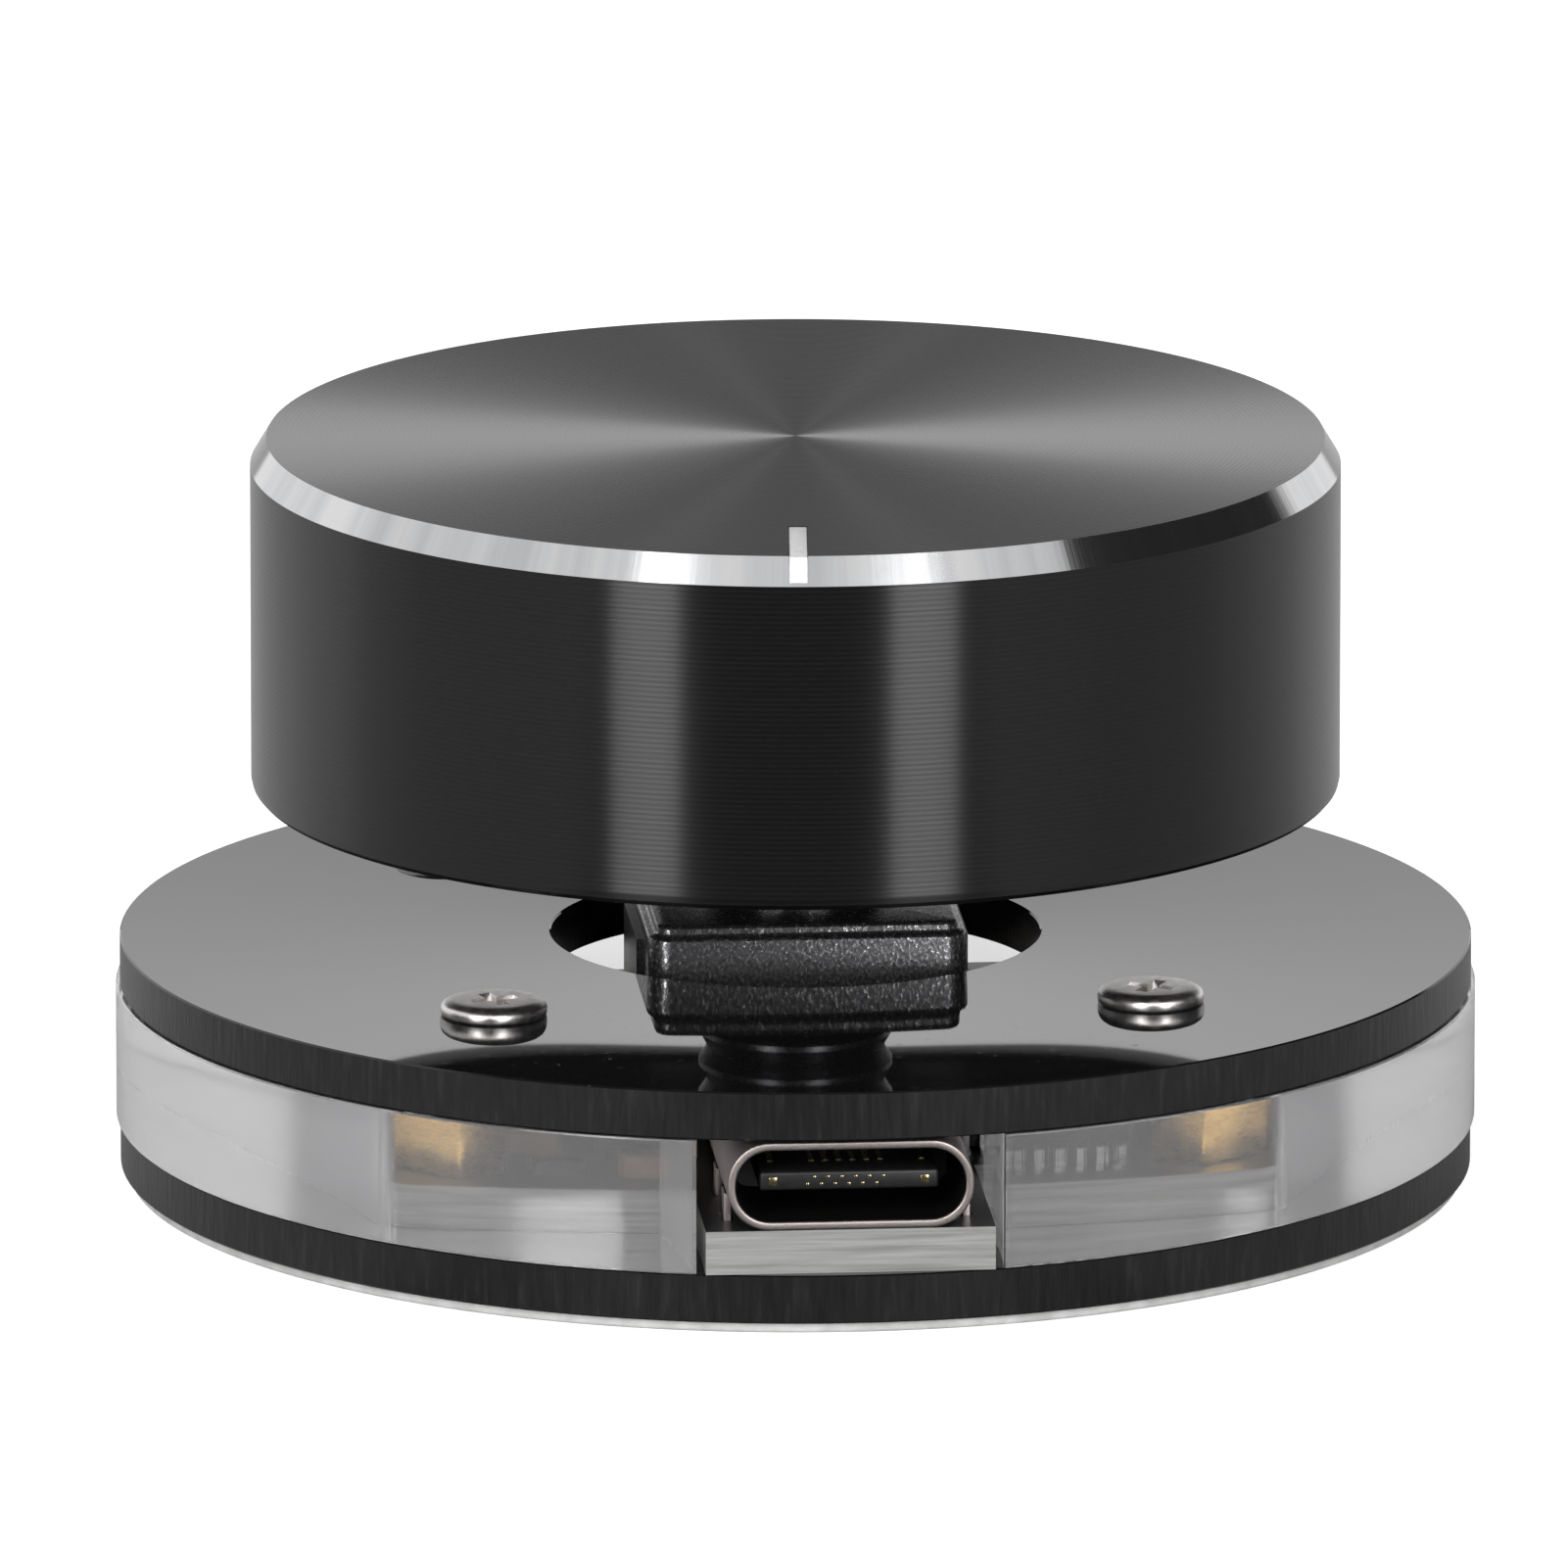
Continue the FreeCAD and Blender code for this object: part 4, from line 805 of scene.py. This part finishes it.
class KNOB_OT_screws(bpy.types.Operator):
    """Turns one pan head screw with its cross recess and copies it to the four corners"""

    bl_idname = "knob.screws"
    bl_label = "Top screws"

    def execute(self, context):
        spread = context.scene.knob_base.screw_spread
        plate = spot("top_plate", 1, 2)
        _, low, high = drum("top_screws")
        screws = None
        for across, along, turn in ((-1, -1, 20), (1, -1, 62), (-1, 1, 5), (1, 1, 40)):
            screw = turned("pan_screws", [
                (0.85 * MM, low), (1.0 * MM, low + 0.15 * MM), (1.0 * MM, plate),
                (1.86 * MM, plate), (1.93 * MM, plate + 0.06 * MM), (1.95 * MM, plate + 0.14 * MM),
                (1.95 * MM, plate + 0.25 * MM), (1.92 * MM, plate + 0.35 * MM),
                (1.85 * MM, plate + 0.43 * MM), (1.73 * MM, plate + 0.49 * MM),
                (1.57 * MM, high - 0.02 * MM), (1.4 * MM, high), (0.3 * MM, high)], sides=64)
            for side in (0, 90):
                arm = block("recess", (-1.1 * MM, -0.27 * MM, high - 0.5 * MM),
                            (1.1 * MM, 0.27 * MM, high + 0.3 * MM))
                pick_faces(arm, lambda middle, normal: normal.z < -0.9)
                bpy.ops.object.mode_set(mode="EDIT")
                bpy.ops.transform.resize(value=(0.5, 0.8, 1), center_override=(0, 0, high - 0.5 * MM))
                bpy.ops.object.mode_set(mode="OBJECT")
                arm.rotation_euler.z = math.radians(side + turn)
                fix_place(arm)
                cut(screw, arm)
            screws = add_to(screws, moved(screw, (across * spread, along * spread, 0)))
        hand_over(screws, "base", [finish_named("nickel_plate")], ["top_screws"])
        return {"FINISHED"}


class KNOB_OT_standoffs(bpy.types.Operator):
    """Makes the hexagonal brass standoffs with broken edges"""

    bl_idname = "knob.standoffs"
    bl_label = "Standoffs"

    def execute(self, context):
        spread = context.scene.knob_base.screw_spread
        _, low, high = drum("standoffs")
        bore, across_flats = 1.03 * MM, 4.0 * MM
        corner = across_flats / math.sqrt(3)
        posts = None
        for across, along in CORNERS:
            post = turned("brass_posts", [(corner, low), (corner, high)], sides=6)
            use_modifier(post, "BEVEL", width=0.12 * MM, segments=2, limit_method="ANGLE",
                         angle_limit=math.radians(30))
            cut(post, turned("bore", [(bore, low - MM), (bore, high + MM)], sides=48))
            posts = add_to(posts, moved(post, (across * spread, along * spread, 0)))
        hand_over(posts, "base", [finish_named("machined_brass")], ["standoffs"])
        return {"FINISHED"}


class KNOB_OT_encoder(bpy.types.Operator):
    """Makes the encoder's cast block, its stepped top and its threaded bushing"""

    bl_idname = "knob.encoder"
    bl_label = "Encoder body"

    def execute(self, context):
        sizes = context.scene.knob_base
        low = spot("encoder_housing", 0, 2)
        high = spot("encoder_housing", 1, 2)
        width = 2 * spot("encoder_housing", 1, 0)
        depth = 2 * spot("encoder_housing", 1, 1)
        block_top = high - sizes.bushing_length
        step = block_top - sizes.rim_drop
        body = rounded_block("encoder_body", width, depth, 0.9 * MM,
                             [(low, 0), (step, 0), (block_top, 0.3 * MM)])
        soften(body, 0.16 * MM, 3, 40)
        bore, core, crest, pitch = 3.03 * MM, 3.2 * MM, 3.5 * MM, 0.75 * MM
        path = [(core, block_top - 0.3 * MM), (core, block_top + 0.3 * MM)]
        height = block_top + 0.3 * MM
        while height + pitch < high - 0.2 * MM:
            path += [(crest, height + 0.28 * MM), (crest, height + 0.4 * MM),
                     (3.22 * MM, height + 0.68 * MM), (core, height + pitch)]
            height += pitch
        path += [(3.45 * MM, high - 0.25 * MM), (3.3 * MM, high), (bore, high),
                 (bore, block_top - 0.3 * MM), path[0]]
        bushing = turned("bushing", path, filled=False, sides=96)
        cut(body, turned("bore", [(bore, low + 0.6 * MM), (bore, high + MM)], sides=96))
        add_to(body, bushing)
        hand_over(body, "base", [finish_named("cast_zinc"), finish_named("cut_zinc")],
                  ["encoder_housing"], smooth=30)
        for face in body.data.polygons:
            away = math.hypot(face.center.x, face.center.y)
            if away < 3.6 * MM and face.center.z > block_top + 0.05 * MM:
                face.material_index = 1
        return {"FINISHED"}


class KNOB_OT_inlet(bpy.types.Operator):
    """Makes the inlet's drawn mouth, its blade and the contact tips"""

    bl_idname = "knob.inlet"
    bl_label = "Inlet"

    def execute(self, context):
        front = spot("usb_shell", 0, 1)
        back = spot("usb_shell", 1, 1)
        width = 2 * spot("usb_shell", 1, 0)
        top = spot("usb_shell", 1, 2)
        board = spot("circuit_board", 1, 2)
        height = top - board
        middle = (top + board) / 2
        wall = 0.3 * MM
        # The tube runs on past the middle of the base, as far behind it as the
        # solid's back end lies in front of it
        mouth = rounded_block("inlet_mouth", width, height, height * 0.48,
                              [(middle + back, 0), (middle - front, 0)], segments=10)
        self.lay_down(mouth, (0, 0, middle), front)
        pick_faces(mouth, lambda place, normal: normal.y < -0.9)
        bpy.ops.object.mode_set(mode="EDIT")
        bpy.ops.mesh.delete(type="FACE")
        bpy.ops.object.mode_set(mode="OBJECT")
        use_modifier(mouth, "SOLIDIFY", thickness=wall, offset=-1.0)
        soften(mouth, 0.08 * MM, 3, 40)
        for side in (-1, 1):
            for share in (0.3, 0.8):
                along = front + (back - front) * share
                across = side * (width - wall) / 2
                tab = block("tab", (across - wall / 2, along - 0.5 * MM, spot("usb_shell", 0, 2)),
                            (across + wall / 2, along + 0.5 * MM, middle - 0.6 * MM))
                soften(tab, 0.05 * MM)
                add_to(mouth, tab)
        hand_over(mouth, "base",
                  [finish_named("drawn_stainless"), finish_named("shaded_stainless")],
                  ["usb_shell"], smooth=40)
        self.shade_inside(mouth, middle, front)
        blade_front = spot("usb_tongue", 0, 1)
        blade = block("inlet_blade", (-3.25 * MM, blade_front, middle - 0.35 * MM),
                      (3.25 * MM, back - 2.2 * MM, middle + 0.35 * MM))
        soften(blade, 0.12 * MM, 3)
        add_to(blade, block("root", (-3.9 * MM, back - 2.25 * MM, middle - 1.25 * MM),
                            (3.9 * MM, back - 0.32 * MM, middle + 1.25 * MM)))
        hand_over(blade, "base", [finish_named("black_nylon")], ["usb_tongue"])
        tips = None
        places = (-2.75, -1.25, -0.75, -0.25, 0.25, 0.75, 1.25, 2.75)
        for row in (-1, 1):
            for place in places:
                big = abs(place) > 2
                if big and row > 0:
                    continue
                half = (0.15 if big else 0.06) * MM
                across = place * MM + (0 if big or row > 0 else -0.25 * MM)
                level = middle + (0 if big else row * 0.13 * MM)
                tip = block("contact_tips", (across - half, blade_front - 0.01 * MM, level - half),
                            (across + half, blade_front + 0.15 * MM, level + half))
                soften(tip, 0.03 * MM)
                tips = add_to(tips, tip)
        for face in (-1, 1):
            for place in places:
                low = (place * MM - 0.1 * MM, blade_front + 1.6 * MM, middle + face * 0.345 * MM)
                high = (place * MM + 0.1 * MM, back - 2.3 * MM, middle + face * 0.385 * MM)
                add_to(tips, block("strip", low, high))
        hand_over(tips, "base", [finish_named("gold_flash")], ["usb_contacts"])
        return {"FINISHED"}

    def shade_inside(self, mouth, middle, front):
        """The faces that look into the mouth get the darker copy of the steel, which paints their shade.
        """
        reach = 2.9 * MM
        for face in mouth.data.polygons:
            across, along, level = face.center
            rest = Vector((across - max(-reach, min(reach, across)), 0, level - middle))
            if along > front + 0.2 * MM and rest.dot(face.normal) < 0:
                face.material_index = 1

    def lay_down(self, piece, centre, front):
        """The upright form is laid along the inlet and moved to the inlet's front."""
        choose(piece)
        bpy.ops.object.mode_set(mode="EDIT")
        bpy.ops.mesh.select_all(action="SELECT")
        bpy.ops.transform.rotate(value=math.radians(90), orient_axis="X", center_override=centre)
        bpy.ops.object.mode_set(mode="OBJECT")
        shift = front - min(vertex.co.y for vertex in piece.data.vertices)
        bpy.ops.object.mode_set(mode="EDIT")
        bpy.ops.transform.translate(value=(0, shift, 0))
        bpy.ops.object.mode_set(mode="OBJECT")
        close_up(piece)


class KNOB_OT_kept_parts(bpy.types.Operator):
    """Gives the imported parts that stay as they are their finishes"""

    bl_idname = "knob.kept_parts"
    bl_label = "Kept parts"

    def execute(self, context):
        finishes = {
            "base_screws": "nickel_plate",
            "circuit_board": "glass_laminate",
            "controller_chip": "black_nylon",
            "controller_leads": "tinned_bronze",
            "capacitors": "fired_ceramic",
            "resistors": "black_nylon",
            "leds": "lamp_polyamide",
            "encoder_bracket": "phosphated_steel",
            "encoder_terminals": "tinned_bronze",
            "switch_base": "black_nylon",
            "switch_dome": "spring_steel",
            "contact_wafer": "black_nylon",
            "detent_spring": "spring_steel",
            "encoder_rotor": "ivory_polymer",
            "rotor_wiper": "spring_steel",
            "encoder_shaft": "turned_aluminium",
            "shaft_clip": "spring_steel",
            "knob_insert": "black_nylon",
        }
        for node, finish in finishes.items():
            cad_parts[node].material_slots[0].material = finish_named(finish)
        return {"FINISHED"}


class KNOB_OT_stage(bpy.types.Operator):
    """Makes the pale floor, the soft lights and the white surroundings"""

    bl_idname = "knob.stage"
    bl_label = "Floor and light"

    def execute(self, context):
        stage = context.scene.knob_stage
        self.floor()
        self.lamp("left_window", (-35.8, 0), 0.75, (0.185, 1.5), stage.window)
        self.lamp("right_window", (21.9, 0), 0.75, (0.18, 1.5), stage.window)
        self.surroundings(context, stage)
        context.scene.view_settings.view_transform = "Standard"
        return {"FINISHED"}

    def floor(self):
        """A white floor that keeps the knob's shadow, as a grey card where gloss mirrors it.

        The card is darkest in front, between the two windows. From below and under the
        pad the floor is clear, so the underside can be seen.
        """
        clear_choice()
        bpy.ops.mesh.primitive_plane_add(size=12, location=(0, 0, -0.02 * MM))
        floor = bpy.context.object
        floor.name = "floor"
        material = bpy.data.materials.new("white_floor")
        material.use_nodes = True
        tree = material.node_tree
        tree.nodes.clear()
        path = add_node(tree, "ShaderNodeLightPath").outputs
        place = add_node(tree, "ShaderNodeTexCoord").outputs["Object"]
        x, y, _ = add_node(tree, "ShaderNodeSeparateXYZ", links={0: place}).outputs
        ahead = step(tree, y, -0.03, 0.06, 1.0, 0.0)
        side = side_angle(tree, x, y)
        outside = maths(tree, "ADD", step(tree, side, -0.85, -0.65, 1.0, 0.0),
                        step(tree, side, 0.42, 0.62, 0.0, 1.0))
        grey = mixed(tree, outside, linear("#626262"), linear("#bababa"), "RGBA")
        mirrored = maths(tree, "MULTIPLY", path["Is Glossy Ray"], ahead)
        card = mixed(tree, mirrored, linear("#e8e8e8"), grey, "RGBA")
        paper = add_node(tree, "ShaderNodeBsdfDiffuse", links={"Color": card})
        glow = add_node(tree, "ShaderNodeEmission", links={"Color": (1, 1, 1, 1), "Strength": 0.72})
        both = add_node(tree, "ShaderNodeAddShader", links={0: paper.outputs[0], 1: glow.outputs[0]})
        lit = add_node(tree, "ShaderNodeMixShader", links={
            "Fac": seen(tree, path), 1: paper.outputs[0], 2: both.outputs[0]})
        below = add_node(tree, "ShaderNodeNewGeometry").outputs["Backfacing"]
        away = add_node(tree, "ShaderNodeVectorMath", {"operation": "LENGTH"}, {0: place})
        under = maths(tree, "LESS_THAN", away.outputs["Value"], 24.0 * MM)
        hole = add_node(tree, "ShaderNodeBsdfTransparent")
        surface = add_node(tree, "ShaderNodeMixShader", links={
            "Fac": maths(tree, "MAXIMUM", below, under), 1: lit.outputs[0], 2: hole.outputs[0]})
        add_node(tree, "ShaderNodeOutputMaterial", links={"Surface": surface.outputs[0]})
        floor.data.materials.append(material)

    def lamp(self, name, place, distance, size, brightness):
        """A soft rectangular light of a given brightness, aimed at the knob."""
        turn, rise = (math.radians(angle) for angle in place)
        back = Vector((math.sin(turn) * math.cos(rise), -math.cos(turn) * math.cos(rise), math.sin(rise)))
        clear_choice()
        aim = Vector((0, 0, 0.02))
        bpy.ops.object.light_add(type="AREA", location=back * distance + aim)
        lamp = bpy.context.object
        lamp.name = name
        lamp.rotation_euler = (-back).to_track_quat("-Z", "Y").to_euler()
        lamp.data.shape = "RECTANGLE"
        lamp.data.size = size[0]
        lamp.data.size_y = size[1]
        lamp.data.energy = brightness * math.pi * size[0] * size[1]
        lamp.visible_camera = False

    def surroundings(self, context, stage):
        """White where the camera looks, white behind the knob and dim in front of it."""
        world = bpy.data.worlds.new("surroundings")
        context.scene.world = world
        world.use_nodes = True
        tree = world.node_tree
        tree.nodes.clear()
        place = add_node(tree, "ShaderNodeTexCoord").outputs["Generated"]
        x, y, z = add_node(tree, "ShaderNodeSeparateXYZ", links={0: place}).outputs
        side = side_angle(tree, x, y)
        lean = maths(tree, "MULTIPLY", maths(tree, "MAXIMUM", x, 0.0), 0.3)
        lower = maths(tree, "MINIMUM", maths(tree, "ADD", x, 0.08), 0.0)
        behind = step(tree, maths(tree, "SUBTRACT", y, lean), 0.25, 0.42, 0.0, 1.0)
        under = step(tree, maths(tree, "ADD", z, lower), 0.33, 0.4, 1.0, 0.0)
        band = step(tree, z, 0.25, 0.36, 0.0, 1.0)
        for limit in (step(tree, z, 0.82, 0.9, 1.0, 0.0), step(tree, side, -3.0, -2.5, 0.0, 1.0),
                      step(tree, side, 1.08, 1.16, stage.ceiling, 0.0)):
            band = maths(tree, "MULTIPLY", band, limit)
        level = maths(tree, "MULTIPLY", behind, under)
        for other in (band, 0.025, seen(tree, add_node(tree, "ShaderNodeLightPath").outputs)):
            level = maths(tree, "MAXIMUM", level, other)
        sky = add_node(tree, "ShaderNodeBackground", links={
            "Color": (1, 1, 1, 1), "Strength": level})
        add_node(tree, "ShaderNodeOutputWorld", links={"Surface": sky.outputs[0]})


class KNOB_PT_maker(bpy.types.Panel):
    """Lists the steps in order"""

    bl_label = "Volume Knob"
    bl_space_type = "VIEW_3D"
    bl_region_type = "UI"
    bl_category = "Volume Knob"

    def draw(self, context):
        for step in STEPS:
            self.layout.operator(step.bl_idname)
        for group in ("knob_cap", "knob_base", "knob_colours", "knob_stage"):
            box = self.layout.box()
            settings = getattr(context.scene, group)
            for name in settings.__annotations__:
                box.prop(settings, name)


GROUPS = {
    "knob_cap": KnobCapSizes,
    "knob_base": KnobBaseSizes,
    "knob_colours": KnobColours,
    "knob_stage": KnobStageSettings,
}
STEPS = (
    KNOB_OT_camera,
    KNOB_OT_finishes,
    KNOB_OT_cap,
    KNOB_OT_sheets,
    KNOB_OT_screws,
    KNOB_OT_standoffs,
    KNOB_OT_encoder,
    KNOB_OT_inlet,
    KNOB_OT_kept_parts,
    KNOB_OT_stage,
)


def register():
    for group in GROUPS.values():
        bpy.utils.register_class(group)
    for step in STEPS:
        bpy.utils.register_class(step)
    bpy.utils.register_class(KNOB_PT_maker)
    for name, group in GROUPS.items():
        setattr(bpy.types.Scene, name, bpy.props.PointerProperty(type=group))


def unregister():
    for name in GROUPS:
        delattr(bpy.types.Scene, name)
    bpy.utils.unregister_class(KNOB_PT_maker)
    for step in reversed(STEPS):
        bpy.utils.unregister_class(step)
    for group in reversed(list(GROUPS.values())):
        bpy.utils.unregister_class(group)


def main():
    """Makes the object step by step."""
    register()
    bpy.ops.knob.camera()
    bpy.ops.knob.finishes()
    bpy.ops.knob.cap()
    bpy.ops.knob.sheets()
    bpy.ops.knob.screws()
    bpy.ops.knob.standoffs()
    bpy.ops.knob.encoder()
    bpy.ops.knob.inlet()
    bpy.ops.knob.kept_parts()
    bpy.ops.knob.stage()


if __name__ == "__main__":
    main()
